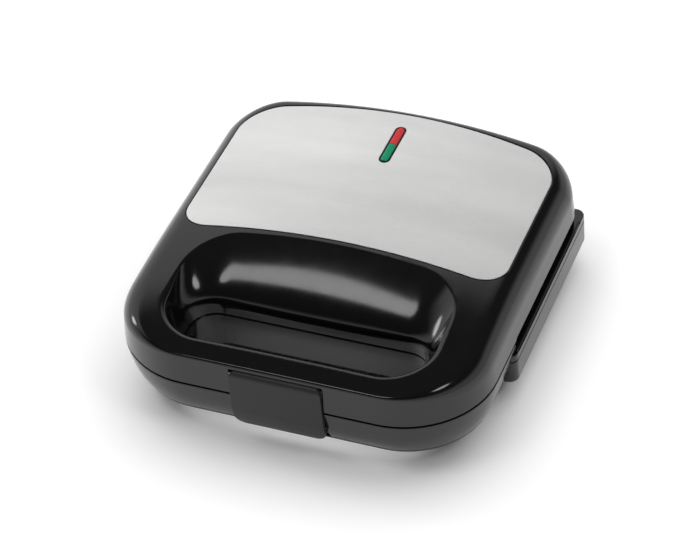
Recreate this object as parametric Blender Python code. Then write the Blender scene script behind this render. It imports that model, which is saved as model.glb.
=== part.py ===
"""Two-slice sandwich toaster: a hinged lid with a steel trim plate, and a base with a handle opening."""

import math

import bmesh
import bpy
from mathutils import Matrix, Vector

MM = 0.001

# Clearances
GAP = 0.35 * MM
RUNNING_GAP = 0.4 * MM

# Cooking plates, whose two slices set the width of the whole toaster
SLICE_SIZE = 97.0 * MM
SLICE_PARTING = 9.0 * MM
SLICE_X = (SLICE_SIZE + SLICE_PARTING) / 2
GRID_SIDE_RIM = 6.5 * MM
GRID_END_RIM = 14.5 * MM
GRID_HALF_WIDTH = SLICE_X + SLICE_SIZE / 2 + GRID_SIDE_RIM
GRID_HALF_DEPTH = SLICE_SIZE / 2 + GRID_END_RIM
GRID_Y = 28.0 * MM
GRID_FRONT_Y = GRID_Y - GRID_HALF_DEPTH
GRID_REAR_Y = GRID_Y + GRID_HALF_DEPTH
GRID_CORNER = 20.0 * MM
GRID_SHEET = 3.0 * MM
GRID_MEET = 0.25 * MM
POCKET_DEPTH = 9.0 * MM
POCKET_DRAFT = 4.0 * MM
RIDGE_WIDTH = 5.0 * MM
BUMP_WALL = 2.4 * MM
BUMP_CORNER = 6.0 * MM
BUMP_CREST_CORNER = 5.0 * MM

# Shared plan of the two housings at the parting plane
HOUSING_MARGIN = 10.5 * MM
REAR_MARGIN = 28.2 * MM
HANDLE_REACH = 47.4 * MM
HANDLE_BAR = 15.7 * MM
HALF_WIDTH = GRID_HALF_WIDTH + HOUSING_MARGIN
OPENING_REAR_Y = GRID_FRONT_Y - 25.1 * MM
OPENING_FRONT_Y = OPENING_REAR_Y - HANDLE_REACH
FRONT_Y = OPENING_FRONT_Y - HANDLE_BAR
REAR_Y = GRID_REAR_Y + REAR_MARGIN
FRONT_CORNER = 56.0 * MM
REAR_CORNER = 34.0 * MM
REAR_BOW = 9.0 * MM
PARTING_Z = 46.0 * MM
PARTING_GAP = 1.2 * MM
WALL = 2.5 * MM

# Lid form
CREST_Z = PARTING_Z + 37.3 * MM
CROWN_DROP = 6.0 * MM
CROWN_AT = 100.0 * MM
LIP_Z = PARTING_Z + 22.0 * MM
LIP_INSET = 1.0 * MM
LIP_RADIUS = 1.6 * MM
SIDE_RADIUS = 15.0 * MM
REAR_RADIUS = 9.0 * MM

# Steel trim plate
PLATE_HALF_WIDTH = HALF_WIDTH - 12.5 * MM
PLATE_FRONT_Y = GRID_FRONT_Y + 19.2 * MM
PLATE_REAR_Y = REAR_Y - 8.4 * MM
PLATE_FRONT_BOW = 6.3 * MM
PLATE_REAR_BOW = 12.5 * MM
PLATE_FRONT_CORNER = 19.0 * MM
PLATE_REAR_CORNER = 24.0 * MM
PLATE_THICKNESS = 0.8 * MM
PLATE_SIDE_GAP = 0.5 * MM

# Handle opening
OPENING_TOP_HALF_WIDTH = HALF_WIDTH - 32.5 * MM
OPENING_TOP_CORNER = 29.0 * MM
OPENING_HALF_WIDTH = OPENING_TOP_HALF_WIDTH - 10.0 * MM
OPENING_CORNER = 15.0 * MM
OPENING_FRONT_CORNER = 22.0 * MM
OPENING_RIM_Y = PLATE_FRONT_Y - 4.0 * MM
ROLL_CONTROL_Z = PARTING_Z + 17.3 * MM
ROLL_FOOT_Z = PARTING_Z + 7.3 * MM
OPENING_BASE_REAR_Y = OPENING_REAR_Y + 7.1 * MM
OPENING_FRONT_TAPER = 1.5 * MM

# Base form
HANDLE_BOTTOM_Z = PARTING_Z - 28.5 * MM
BASE_BOTTOM_Z = HANDLE_BOTTOM_Z - 10.5 * MM
BASE_TAPER = (
    (0.0, 0.0),
    (0.21, 0.7 * MM),
    (0.42, 2.0 * MM),
    (0.63, 4.0 * MM),
    (0.84, 7.0 * MM),
    (0.96, 9.5 * MM),
    (1.0, 12.0 * MM),
)
TUB_TOP_Z = PARTING_Z - 8.0 * MM
TUB_TAPER = ((9.0 * MM, 0.8 * MM), (3.0 * MM, 2.6 * MM), (0.8 * MM, 5.0 * MM), (0.0, 7.0 * MM))
TUB_HALF_WIDTH = HALF_WIDTH - 16.5 * MM
TUB_FRONT_Y = OPENING_BASE_REAR_Y + 3.0 * MM
TUB_REAR_Y = REAR_Y - 9.2 * MM
TUB_CORNER = 28.0 * MM
WELL_UPRIGHT = 5.0 * MM
WELL_FLARE_Z = PARTING_Z - 16.0 * MM
RAIL_HALF_WIDTH = HALF_WIDTH + 1.1 * MM
RAIL_DEPTH = 13.0 * MM
RAIL_FRONT_Y = GRID_FRONT_Y - 5.0 * MM
RAIL_REAR_Y = REAR_Y - 17.2 * MM
RAIL_TOP_Z = PARTING_Z - 7.7 * MM
RAIL_BOTTOM_Z = RAIL_TOP_Z - 21.6 * MM
RAIL_GROOVE_Z = RAIL_TOP_Z - 5.0 * MM
RAIL_GROOVE = 1.0 * MM
RAIL_CHAMFER_IN = 1.5 * MM
RAIL_CHAMFER_UP = 2.0 * MM
SLOT_FRONT_Y = RAIL_FRONT_Y + 4.5 * MM
SLOT_REAR_Y = RAIL_REAR_Y - 8.5 * MM
SLOT_TOP_Z = PARTING_Z + 2.2 * MM
SLOT_DEPTH = 6.0 * MM

# Hinge
HINGE_Y = REAR_Y + 1.3 * MM
KNUCKLE_RADIUS = 4.5 * MM
KNUCKLE_INNER_X = HALF_WIDTH - 50.5 * MM
KNUCKLE_WIDTH = 5.0 * MM
LID_KNUCKLE_WIDTH = 13.2 * MM
HINGE_PIN_RADIUS = 1.6 * MM
LUG_BOTTOM_Z = PARTING_Z - 13.0 * MM

# Latch clip
CLIP_HALF_WIDTH = 29.3 * MM
CLIP_FACE_Y = FRONT_Y - 1.8 * MM
CLIP_THICKNESS = 3.0 * MM
CLIP_TOP_Z = LIP_Z - 2.7 * MM
CLIP_BOTTOM_Z = HANDLE_BOTTOM_Z + 4.8 * MM
CLIP_TOP_CORNER = 5.0 * MM
CLIP_BOTTOM_CORNER = 7.0 * MM
CLIP_BEND_Z = CLIP_BOTTOM_Z + 13.7 * MM
CLIP_BEND_IN = 3.0 * MM
CLIP_BARREL = 3.8 * MM
CLIP_PIN_RADIUS = 1.2 * MM
CLIP_PIN_REACH = 4.0 * MM
CATCH_Y = FRONT_Y + 4.2 * MM
CATCH_BOTTOM_Z = CLIP_BOTTOM_Z + 7.7 * MM
CATCH_PLAY = 0.4 * MM
HOOK_DEPTH = 4.0 * MM
CLIP_SWING_IN = 0.8 * MM
CLIP_SWING_OUT = 40.0
CLIP_SEAT_LAP = 1.0 * MM
CATCH_ROOM = 2.0 * MM

# Indicator
LAMP_Y = PLATE_REAR_Y - 31.3 * MM
LAMP_LENGTH = 36.0 * MM
LAMP_WIDTH = 8.0 * MM
LAMP_RIM = 1.0 * MM
LAMP_DEPTH = 7.0 * MM
LAMP_STAND = 0.5 * MM
LENS_STAND = 0.9 * MM
BULB_RADIUS = 2.8 * MM
BULB_LENGTH = 12.0 * MM
BOARD_SIZE = (26.0 * MM, 52.0 * MM, 1.6 * MM)
BOARD_TOP_Z = CREST_Z - 13.3 * MM
BOARD_POST_RADIUS = 2.5 * MM
BOARD_POST_Y = 22.0 * MM

# Frames that hold the cooking plates in the housings
FRAME_THICKNESS = 3.0 * MM
FRAME_RECESS = 0.5 * MM
FRAME_FRONT_SCREW = ((OPENING_TOP_HALF_WIDTH + HALF_WIDTH) / 2 - 2.25 * MM, OPENING_REAR_Y - 1.9 * MM)
FRAME_REAR_SCREW = (HALF_WIDTH - 22.5 * MM, GRID_REAR_Y + 3.0 * MM)

# Heating
ELEMENT_RADIUS = 3.2 * MM
ELEMENT_HALF_X = SLICE_X + 25.0 * MM
ELEMENT_HALF_Y = SLICE_SIZE / 2 - 12.5 * MM
ELEMENT_CORNER = 16.0 * MM
ELEMENT_TAIL_X = 14.0 * MM
REFLECTOR_HALF_X = GRID_HALF_WIDTH - 10.0 * MM
REFLECTOR_HALF_Y = GRID_HALF_DEPTH - 2.0 * MM
REFLECTOR_CORNER = 12.0 * MM
REFLECTOR_SHEET = 0.8 * MM
REFLECTOR_RIM = 5.0 * MM
REFLECTOR_OFFSET = 21.0 * MM
THERMOSTAT_RADIUS = 8.0 * MM
THERMOSTAT_HEIGHT = 6.5 * MM
THERMOSTAT_X = 30.0 * MM
FUSE_RADIUS = 2.2 * MM
FUSE_LENGTH = 14.0 * MM

# Screws and bosses
SCREW_X = SLICE_X + 7.0 * MM
SCREW_REACH_Y = SLICE_SIZE / 2 + 7.5 * MM
SCREW_RADIUS = 1.5 * MM
SCREW_HEAD_RADIUS = 3.0 * MM
SCREW_HEAD_HEIGHT = 1.6 * MM
SCREW_LENGTH = 9.0 * MM
SCREW_SINK = 0.2 * MM
BOSS_RADIUS = 3.6 * MM
BOSS_SHOULDER_RADIUS = 5.5 * MM

# Underside
FLOOR = 3.0 * MM
COVER_HALF_X = TUB_HALF_WIDTH - 28.0 * MM
COVER_HALF_Y = 43.0 * MM
COVER_Y = GRID_Y
COVER_THICKNESS = 1.6 * MM
COVER_LAP = 7.0 * MM
COVER_CORNER = 10.0 * MM
COVER_SCREW_INSET = 4.0 * MM
COVER_BOSS_TOP_Z = BASE_BOTTOM_Z + 11.0 * MM
FOOT_RADIUS = 8.0 * MM
FOOT_X = TUB_HALF_WIDTH - 22.0 * MM
FOOT_FRONT_Y = TUB_FRONT_Y + 18.0 * MM
FOOT_REAR_Y = TUB_REAR_Y - 20.0 * MM
FOOT_STEM_RADIUS = 2.6 * MM
FOOT_STEM_HEIGHT = 5.0 * MM
FOOT_CHAMFER = 1.0 * MM

# Cord gland and terminal block
GLAND_X = -40.0 * MM
GLAND_Z = BASE_BOTTOM_Z + 19.5 * MM
GLAND_RADIUS = 5.0 * MM
GLAND_BORE = 3.4 * MM
GLAND_FLANGE = 7.0 * MM
GLAND_FLANGE_THICKNESS = 1.8 * MM
GLAND_PAD_Y = REAR_Y - 2.2 * MM
GLAND_PAD_DEPTH = 16.0 * MM
GLAND_PAD_MARGIN = 1.5 * MM
TERMINAL_SIZE = (34.0 * MM, 14.0 * MM, 12.0 * MM)
TERMINAL_X = 30.0 * MM
TERMINAL_Y = REAR_Y - 25.2 * MM

# Steps along a housing's outline, and round a turned piece
EDGE_STEPS = 3
CORNER_STEPS = 5
DOME_STEPS = 3
ROLL_STEPS = 5
ROUND_STEPS = 12
SCREW_STEPS = 8
EXTRA = 4.0 * MM


def material(name, colour, metallic, roughness):
    made = bpy.data.materials.new(name)
    made.use_nodes = True
    shader = made.node_tree.nodes["Principled BSDF"]
    shader.inputs["Base Color"].default_value = (*colour, 1.0)
    shader.inputs["Metallic"].default_value = metallic
    shader.inputs["Roughness"].default_value = roughness
    return made


def finish(name, bm, paint=None):
    """Closes a bmesh into an object with its normals outwards."""
    bmesh.ops.remove_doubles(bm, verts=bm.verts, dist=1e-7)
    bmesh.ops.recalc_face_normals(bm, faces=bm.faces)
    mesh = bpy.data.meshes.new(name)
    bm.to_mesh(mesh)
    bm.free()
    made = bpy.data.objects.new(name, mesh)
    bpy.context.scene.collection.objects.link(made)
    if paint:
        mesh.materials.append(paint)
        mesh.shade_smooth()
        mesh.set_sharp_from_angle(angle=math.radians(32))
    else:
        made.hide_render = True
        made.display_type = "WIRE"
    return made


def stack(name, rings, paint=None):
    """A closed solid through rings of equally many points, capped at both ends."""
    bm = bmesh.new()
    loops = [[bm.verts.new(point) for point in ring] for ring in rings]
    for lower, upper in zip(loops, loops[1:]):
        for i in range(len(lower)):
            j = (i + 1) % len(lower)
            bm.faces.new((lower[i], lower[j], upper[j], upper[i]))
    bm.faces.new(reversed(loops[0]))
    bm.faces.new(loops[-1])
    return finish(name, bm, paint)


def box(name, low, high, paint=None):
    bm = bmesh.new()
    bmesh.ops.create_cube(bm, size=1.0)
    low, high = Vector(low), Vector(high)
    bmesh.ops.scale(bm, vec=high - low, verts=bm.verts)
    bmesh.ops.translate(bm, vec=(low + high) / 2, verts=bm.verts)
    return finish(name, bm, paint)


def circle(radius, height, steps=ROUND_STEPS):
    turn = [2 * math.pi * i / steps for i in range(steps)]
    return [(radius * math.cos(a), radius * math.sin(a), height) for a in turn]


def turned(name, profile, place, paint=None, axis="Z", steps=ROUND_STEPS):
    """A piece turned from (radius, height) pairs, with its axis along Z, X or Y."""
    made = stack(name, [circle(radius, height, steps) for radius, height in profile], paint)
    turns = {
        "Z": Matrix.Identity(4),
        "X": Matrix.Rotation(math.radians(90), 4, "Y"),
        "Y": Matrix.Rotation(math.radians(-90), 4, "X"),
    }
    made.data.transform(turns[axis])
    made.data.transform(Matrix.Translation(place))
    return made


def prism(name, points, low, high, axis, paint=None):
    """A flat outline extruded along X, Y or Z, between low and high."""
    order = {
        "X": lambda a, b, c: (c, a, b),
        "Y": lambda a, b, c: (a, c, b),
        "Z": lambda a, b, c: (a, b, c),
    }[axis]
    return stack(name, [[order(a, b, c) for a, b in points] for c in (low, high)], paint)


def boolean(target, cutter, operation="DIFFERENCE"):
    change = target.modifiers.new(f"{operation.lower()} {cutter.name}", "BOOLEAN")
    change.operation = operation
    change.object = cutter
    change.solver = "EXACT"
    return target


def settle(made):
    """Applies the modifiers, and removes the helpers that they used."""
    graph = bpy.context.evaluated_depsgraph_get()
    helpers = {change.object for change in made.modifiers}
    mesh = bpy.data.meshes.new_from_object(made.evaluated_get(graph))
    made.modifiers.clear()
    made.data = mesh
    mesh.name = made.name
    mesh.shade_smooth()
    mesh.set_sharp_from_angle(angle=math.radians(32))
    for helper in helpers:
        bpy.data.objects.remove(helper)
    return made


def outline(half_width, front, rear, front_corner, rear_corner, bows=(0.0, 0.0)):
    """A rounded four-sided plan, with the front and rear edges bowed forwards at the sides."""
    right = []
    for i in range(EDGE_STEPS):
        right.append(((half_width - front_corner) * i / EDGE_STEPS, front))
    for i in range(CORNER_STEPS + 1):
        turn = math.radians(90 * i / CORNER_STEPS)
        across = half_width - front_corner + front_corner * math.sin(turn)
        right.append((across, front + front_corner - front_corner * math.cos(turn)))
    for i in range(CORNER_STEPS + 1):
        turn = math.radians(90 * i / CORNER_STEPS)
        across = half_width - rear_corner + rear_corner * math.cos(turn)
        right.append((across, rear - rear_corner + rear_corner * math.sin(turn)))
    for i in range(1, EDGE_STEPS + 1):
        right.append(((half_width - rear_corner) * (1 - i / EDGE_STEPS), rear))
    bowed = []
    for x, y in right:
        share = (y - front) / (rear - front)
        bow = bows[0] * (1 - share) + bows[1] * share
        bowed.append((x, y - bow * (x / half_width) ** 2))
    return bowed + [(-x, y) for x, y in reversed(bowed[1:-1])]


def offset(points, insets):
    """The outline moved inwards, by one distance or by one for each point."""
    count = len(points)
    if not isinstance(insets, list):
        insets = [insets] * count
    moved = []
    for i, (x, y) in enumerate(points):
        before, after = Vector(points[i - 1]), Vector(points[(i + 1) % count])
        along = (after - before).normalized()
        moved.append((x - along.y * insets[i], y + along.x * insets[i]))
    return moved


def level(points, height):
    return [(x, y, height) for x, y in points]


def crown(x):
    return CREST_Z - CROWN_DROP * (x / CROWN_AT) ** 2


def lid_top(x, y):
    """Height of the lid's top surface: crowned, and falling to the straight front lip."""
    lip_y = FRONT_Y + LIP_INSET
    share = max(0.0, min(1.0, (y - lip_y) / (PLATE_FRONT_Y - lip_y)))
    return LIP_Z + (crown(x) - LIP_Z) * (1 - (1 - share) ** 2)


def plan():
    """The housings' shared outline at the parting plane."""
    return outline(HALF_WIDTH, FRONT_Y, REAR_Y, FRONT_CORNER, REAR_CORNER, (0.0, REAR_BOW))


def edge_radii():
    """The lid's edge radius at each point of the plan: crisp in front, soft at the sides."""
    right = [LIP_RADIUS] * EDGE_STEPS
    for i in range(CORNER_STEPS + 1):
        share = i / CORNER_STEPS
        right.append(LIP_RADIUS + (SIDE_RADIUS - LIP_RADIUS) * share**2 * (3 - 2 * share))
    for i in range(CORNER_STEPS + 1):
        right.append(SIDE_RADIUS + (REAR_RADIUS - SIDE_RADIUS) * i / CORNER_STEPS)
    right += [REAR_RADIUS] * EDGE_STEPS
    return right + list(reversed(right[1:-1]))


def shrunk(points, height_of, steps=DOME_STEPS):
    """Rings that close a plan over a curved surface, towards its middle."""
    middle = (min(y for _, y in points) + max(y for _, y in points)) / 2
    rings = []
    for i in range(1, steps):
        size = 1 - i / steps
        near = [(x * size, middle + (y - middle) * size) for x, y in points]
        rings.append([(x, y, height_of(x, y)) for x, y in near])
    return rings


def lid_form(name, inset, drop, bottom, paint=None):
    """The lid's outer form, or with an inset and a drop the hollow inside it."""
    radii = [max(radius - inset, LIP_RADIUS / 2) for radius in edge_radii()]
    rings = [level(offset(plan(), inset), bottom)]
    for turn in (0, 30, 60, 90):
        sine, cosine = math.sin(math.radians(turn)), math.cos(math.radians(turn))
        insets = [inset + LIP_INSET + radius * (1 - cosine) for radius in radii]
        ring = []
        for (x, y), radius in zip(offset(plan(), insets), radii):
            ring.append((x, y, lid_top(x, y) - drop - radius * (1 - sine)))
        rings.append(ring)
    flat = [(x, y) for x, y, _ in rings[-1]]
    rings += shrunk(flat, lambda x, y: lid_top(x, y) - drop)
    return stack(name, rings, paint)


def sheet(name, points, bottom_of, top_of, paint=None):
    """A solid between two curved surfaces over one plan."""
    lower = [[(x, y, bottom_of(x, y)) for x, y in points]]
    lower += shrunk(points, bottom_of)
    upper = [[(x, y, top_of(x, y)) for x, y in points]]
    upper += shrunk(points, top_of)
    return stack(name, list(reversed(lower)) + upper, paint)


def trim_plan(grow=0.0):
    return outline(
        PLATE_HALF_WIDTH + grow,
        PLATE_FRONT_Y - grow,
        PLATE_REAR_Y + grow,
        PLATE_FRONT_CORNER + grow,
        PLATE_REAR_CORNER + grow,
        (PLATE_FRONT_BOW, PLATE_REAR_BOW),
    )


def lid_well(name, grow=0.0):
    """The handle opening through the lid, or with a growth the block that becomes its walls."""
    rings = [opening_ring(OPENING_REAR_Y, PARTING_Z - 3 * WALL, grow, 0.0)]
    for i in range(ROLL_STEPS + 1):
        share = i / ROLL_STEPS
        rear = OPENING_REAR_Y + share**2 * (OPENING_RIM_Y - OPENING_REAR_Y)
        rings.append(opening_ring(rear, roll_height(share) - 0.8 * grow, grow, share))
    slope = (OPENING_RIM_Y - OPENING_REAR_Y) / (crown(0) - ROLL_CONTROL_Z)
    top = crown(0) + EXTRA
    rim = opening_ring(OPENING_RIM_Y + EXTRA * slope, top, grow, 1.0)
    rings.append([(x, y, top) for x, y, _ in rim])
    return stack(name, rings)


def opening_ring(rear, height, grow, crowned):
    """One ring of the lid's handle opening. Its share of the lid's crown lets the rim follow the plate."""
    rise = max(0.0, min(1.2, (height - PARTING_Z) / (LIP_Z + SIDE_RADIUS / 2 - PARTING_Z)))
    half_width = OPENING_HALF_WIDTH + (OPENING_TOP_HALF_WIDTH - OPENING_HALF_WIDTH) * rise
    corner = OPENING_CORNER + (OPENING_TOP_CORNER - OPENING_CORNER) * min(1.0, rise)
    front = OPENING_FRONT_Y + OPENING_FRONT_TAPER * (1 - min(1.0, rise))
    front_growth = (OPENING_TOP_CORNER - OPENING_FRONT_CORNER) * min(1.0, rise)
    points = outline(
        half_width + grow,
        front - grow,
        rear + grow,
        OPENING_FRONT_CORNER + front_growth + grow,
        corner + grow,
        (0.0, PLATE_FRONT_BOW * crowned * (half_width / PLATE_HALF_WIDTH) ** 2 * 0.4),
    )
    return [(x, y, height - 0.5 * crowned * (crown(0) - crown(x))) for x, y in points]


def base_well(name, grow=0.0):
    """The handle opening through the base: upright at the top, then flaring rearwards."""
    mouth = PARTING_Z + EXTRA
    upright = PARTING_Z - WELL_UPRIGHT
    flare = OPENING_BASE_REAR_Y - OPENING_REAR_Y
    bottom = BASE_BOTTOM_Z - EXTRA
    stations = ((mouth, 0.0), (upright, 0.0), (WELL_FLARE_Z, 0.5 * flare), (bottom, flare))
    rings = []
    for height, back in stations:
        points = outline(
            OPENING_HALF_WIDTH + grow,
            OPENING_FRONT_Y + OPENING_FRONT_TAPER - grow,
            OPENING_REAR_Y + back + grow,
            OPENING_FRONT_CORNER + grow,
            OPENING_CORNER + grow,
        )
        rings.append(level(points, height))
    return stack(name, list(reversed(rings)))


def slot_cutter(name, side):
    """The vent slot along one side, across the parting plane, with round ends."""
    radius = (SLOT_TOP_Z - RAIL_TOP_Z) / 2
    middle = (SLOT_TOP_Z + RAIL_TOP_Z) / 2
    points = []
    for start, centre_y in ((0.5, SLOT_FRONT_Y + radius), (1.5, SLOT_REAR_Y - radius)):
        for i in range(CORNER_STEPS + 1):
            turn = math.pi * (start + i / CORNER_STEPS)
            points.append((centre_y + radius * math.cos(turn), middle + radius * math.sin(turn)))
    inner, outer = HALF_WIDTH - SLOT_DEPTH, HALF_WIDTH + EXTRA
    return prism(name, points, *sorted((side * inner, side * outer)), "X")


def frame_plan():
    """The panel that fills a housing's mouth."""
    return offset(plan(), WALL + LIP_INSET + GAP)


def grid_plan(grow=0.0):
    return outline(
        GRID_HALF_WIDTH + grow,
        GRID_Y - GRID_HALF_DEPTH - grow,
        GRID_Y + GRID_HALF_DEPTH + grow,
        GRID_CORNER + grow,
        GRID_CORNER + grow,
    )


def cylinder(name, radius, low, high, place, axis="Z", paint=None, steps=ROUND_STEPS):
    return turned(name, [(radius, low), (radius, high)], place, paint, axis, steps)


def to_lower(made):
    """Turns a piece made for the lid into its mirror image for the base."""
    made.data.transform(Matrix.Translation((0, 0, 2 * PARTING_Z)) @ Matrix.Scale(-1, 4, (0, 0, 1)))
    made.data.flip_normals()
    return made


def plate_screw_places():
    return [(sx * SCREW_X, GRID_Y + sy * SCREW_REACH_Y) for sx in (-1, 1) for sy in (-1, 1)]


def frame_screw_places():
    return [(side * x, y) for x, y in (FRAME_FRONT_SCREW, FRAME_REAR_SCREW) for side in (-1, 1)]


def cover_screw_places():
    reach_x, reach_y = COVER_HALF_X - COVER_SCREW_INSET, COVER_HALF_Y - COVER_SCREW_INSET
    return [(sx * reach_x, COVER_Y + sy * reach_y) for sx in (-1, 1) for sy in (-1, 1)]


def foot_places():
    return [(side * FOOT_X, y) for y in (FOOT_FRONT_Y, FOOT_REAR_Y) for side in (-1, 1)]


def screw(name, place, paint):
    """A pan head screw whose head's outer face is at the place, with its shank upwards."""
    profile = [
        (SCREW_HEAD_RADIUS * 0.8, 0.0),
        (SCREW_HEAD_RADIUS, SCREW_HEAD_HEIGHT * 0.4),
        (SCREW_HEAD_RADIUS, SCREW_HEAD_HEIGHT),
        (SCREW_RADIUS, SCREW_HEAD_HEIGHT),
        (SCREW_RADIUS, SCREW_LENGTH),
    ]
    return turned(name, profile, place, paint, steps=SCREW_STEPS)


def screw_bore(name, place):
    """The hole for a screw, with a counterbore for its head."""
    head = SCREW_HEAD_RADIUS + GAP
    shank = SCREW_RADIUS + GAP
    sunk = SCREW_HEAD_HEIGHT + GAP
    depth = SCREW_LENGTH + GAP
    profile = [(head, -EXTRA), (head, sunk), (shank, sunk), (shank, depth)]
    return turned(name, profile, place, steps=SCREW_STEPS)


def lid_screw_seat():
    return PARTING_Z + GRID_MEET + SCREW_SINK


def cover_screw_seat():
    return BASE_BOTTOM_Z + SCREW_SINK - SCREW_HEAD_HEIGHT / 2


def frame_low():
    return PARTING_Z + PARTING_GAP / 2 + FRAME_RECESS


def bosses(target, places, foot_z, roof_of, seats, shoulder_z=None):
    """Adds screw posts that stand from foot_z up to the housing's roof, and bores them."""
    for i, (x, y) in enumerate(places):
        top = roof_of(x, y)
        if shoulder_z is None:
            profile = [(BOSS_RADIUS, foot_z), (BOSS_RADIUS, top)]
        else:
            profile = [
                (BOSS_RADIUS, foot_z),
                (BOSS_RADIUS, shoulder_z),
                (BOSS_SHOULDER_RADIUS, shoulder_z),
                (BOSS_SHOULDER_RADIUS, top),
            ]
        post = turned(f"post {foot_z:.4f} {i}", profile, (x, y, 0))
        boolean(target, post, "UNION")
        boolean(target, screw_bore(f"bore {foot_z:.4f} {i}", (x, y, seats)))


def lid_roof(x, y):
    """How high a post inside the lid may go: into the roof, and under the handle opening's rolled wall."""
    roof = lid_top(x, y) - PLATE_THICKNESS - 1.6 * GAP - WALL / 2
    near = y - BOSS_SHOULDER_RADIUS
    if near > OPENING_RIM_Y or abs(x) > OPENING_TOP_HALF_WIDTH:
        return roof
    rim_share = math.sqrt((near - OPENING_REAR_Y) / (OPENING_RIM_Y - OPENING_REAR_Y))
    return min(roof, roll_height(rim_share) - 0.5 * rim_share * (crown(0) - crown(x)) - WALL / 2)


def roll_height(rim_share):
    """Height of the opening's rolled rear wall, from 0 at its foot to 1 at its rim."""
    foot_share = 1 - rim_share
    bend = 2 * foot_share * rim_share * ROLL_CONTROL_Z
    return rim_share**2 * crown(0) + bend + foot_share**2 * ROLL_FOOT_Z


def make_lid_housing(paint):
    lid = lid_form("lid_housing", 0.0, 0.0, PARTING_Z + PARTING_GAP / 2, paint)
    recess_depth = PLATE_THICKNESS + GAP
    hollow = lid_form("lid hollow", WALL, WALL + recess_depth, PARTING_Z - EXTRA)
    hollow = settle(boolean(hollow, lid_well("lid well walls", WALL)))
    boolean(lid, hollow)
    boolean(lid, lid_well("lid well"))
    recess = sheet(
        "trim recess",
        trim_plan(PLATE_SIDE_GAP),
        lambda x, y: crown(x) - recess_depth,
        lambda x, y: crown(x) + EXTRA,
    )
    boolean(lid, recess)
    add_lid_knuckles(lid)
    cut_clip_seat(lid)
    lid = settle(lid)
    shoulder = PARTING_Z + REFLECTOR_OFFSET + REFLECTOR_SHEET + GAP
    foot = PARTING_Z + GRID_MEET + GRID_SHEET + GAP
    bosses(lid, plate_screw_places(), foot, lid_roof, lid_screw_seat(), shoulder)
    frame_foot = frame_low() + FRAME_THICKNESS + GAP
    bosses(lid, frame_screw_places(), frame_foot, lid_roof, frame_low() + SCREW_SINK)
    for i, side in enumerate((-1, 1)):
        place = (0, LAMP_Y + side * BOARD_POST_Y, 0)
        board_low = BOARD_TOP_Z - BOARD_SIZE[2]
        profile = [
            (BOARD_POST_RADIUS / 2, board_low - GAP),
            (BOARD_POST_RADIUS / 2, BOARD_TOP_Z + GAP),
            (BOARD_POST_RADIUS, BOARD_TOP_Z + GAP),
            (BOARD_POST_RADIUS, lid_roof(*place[:2])),
        ]
        boolean(lid, turned(f"board post {i}", profile, place, steps=SCREW_STEPS), "UNION")
    boolean(lid, lamp_hole("lamp hole"))
    for side in (-1, 1):
        boolean(lid, slot_cutter(f"slot {side}", side))
    return settle(lid)


def lamp_hole(name):
    """The hole for the indicator's bezel, through the trim plate and the lid's roof."""
    low, high = crown(0) - LAMP_DEPTH - EXTRA, crown(0) + EXTRA
    return pill(name, LAMP_LENGTH / 2 + GAP, LAMP_WIDTH / 2 + GAP, low, high)


def add_lid_knuckles(lid):
    for side in (-1, 1):
        start = KNUCKLE_INNER_X + KNUCKLE_WIDTH + RUNNING_GAP
        low, high = sorted((side * start, side * (start + LID_KNUCKLE_WIDTH)))
        points = knuckle_profile(HINGE_Y - KNUCKLE_RADIUS * 1.8, PARTING_Z + PARTING_GAP / 2)
        for start in lug_starts():
            boolean(lid, knuckle_room(f"lug room {side} {start:.4f}", side, start, KNUCKLE_WIDTH))
        boolean(lid, prism(f"lid knuckle {side}", points, low, high, "X"), "UNION")
        boolean(lid, pin_bore(f"lid pin bore {side}", side))


def lug_starts():
    """Where the two lugs on each side of the base start, from the middle outwards."""
    return KNUCKLE_INNER_X, KNUCKLE_INNER_X + KNUCKLE_WIDTH + LID_KNUCKLE_WIDTH + 2 * RUNNING_GAP


def knuckle_room(name, side, start, width):
    """Room in one housing's rear wall for a knuckle of the other to turn in."""
    low, high = sorted((side * (start - RUNNING_GAP), side * (start + width + RUNNING_GAP)))
    return cylinder(name, KNUCKLE_RADIUS + RUNNING_GAP, low, high, (0, HINGE_Y, PARTING_Z), "X")


def knuckle_profile(root_y, edge_z):
    """A hinge knuckle in side view: round about the pin, and straight to its housing above edge_z."""
    points = [(root_y, edge_z), (HINGE_Y - KNUCKLE_RADIUS, edge_z)]
    points += list(knuckle_arc(-170, 95))
    points.append((root_y, PARTING_Z + KNUCKLE_RADIUS))
    return points


def pin_bore(name, side):
    reach = KNUCKLE_INNER_X + KNUCKLE_WIDTH + LID_KNUCKLE_WIDTH + KNUCKLE_WIDTH + EXTRA
    low, high = sorted((side * (KNUCKLE_INNER_X - EXTRA), side * reach))
    place = (0, HINGE_Y, PARTING_Z)
    return cylinder(name, HINGE_PIN_RADIUS + GAP / 2, low, high, place, "X")


def clip_outline(grow, bottom):
    """The clip's face: a rounded rectangle, or with a bottom the seat that stays open below."""
    top_corner, bottom_corner = CLIP_TOP_CORNER + grow, CLIP_BOTTOM_CORNER + grow
    half_width = CLIP_HALF_WIDTH + grow
    return outline(half_width, bottom, CLIP_TOP_Z + grow, bottom_corner, top_corner)


def clip_pin_place():
    """The clip's pin, at the middle of the barrel along its upper edge."""
    return CLIP_FACE_Y + CLIP_BARREL, CLIP_TOP_Z - CLIP_BARREL


def clip_back():
    """The clip's inner face, and the seat's face behind it with room for the clip to swing in."""
    inner = CLIP_FACE_Y + CLIP_THICKNESS
    return inner, inner + RUNNING_GAP + CLIP_SWING_IN


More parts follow.
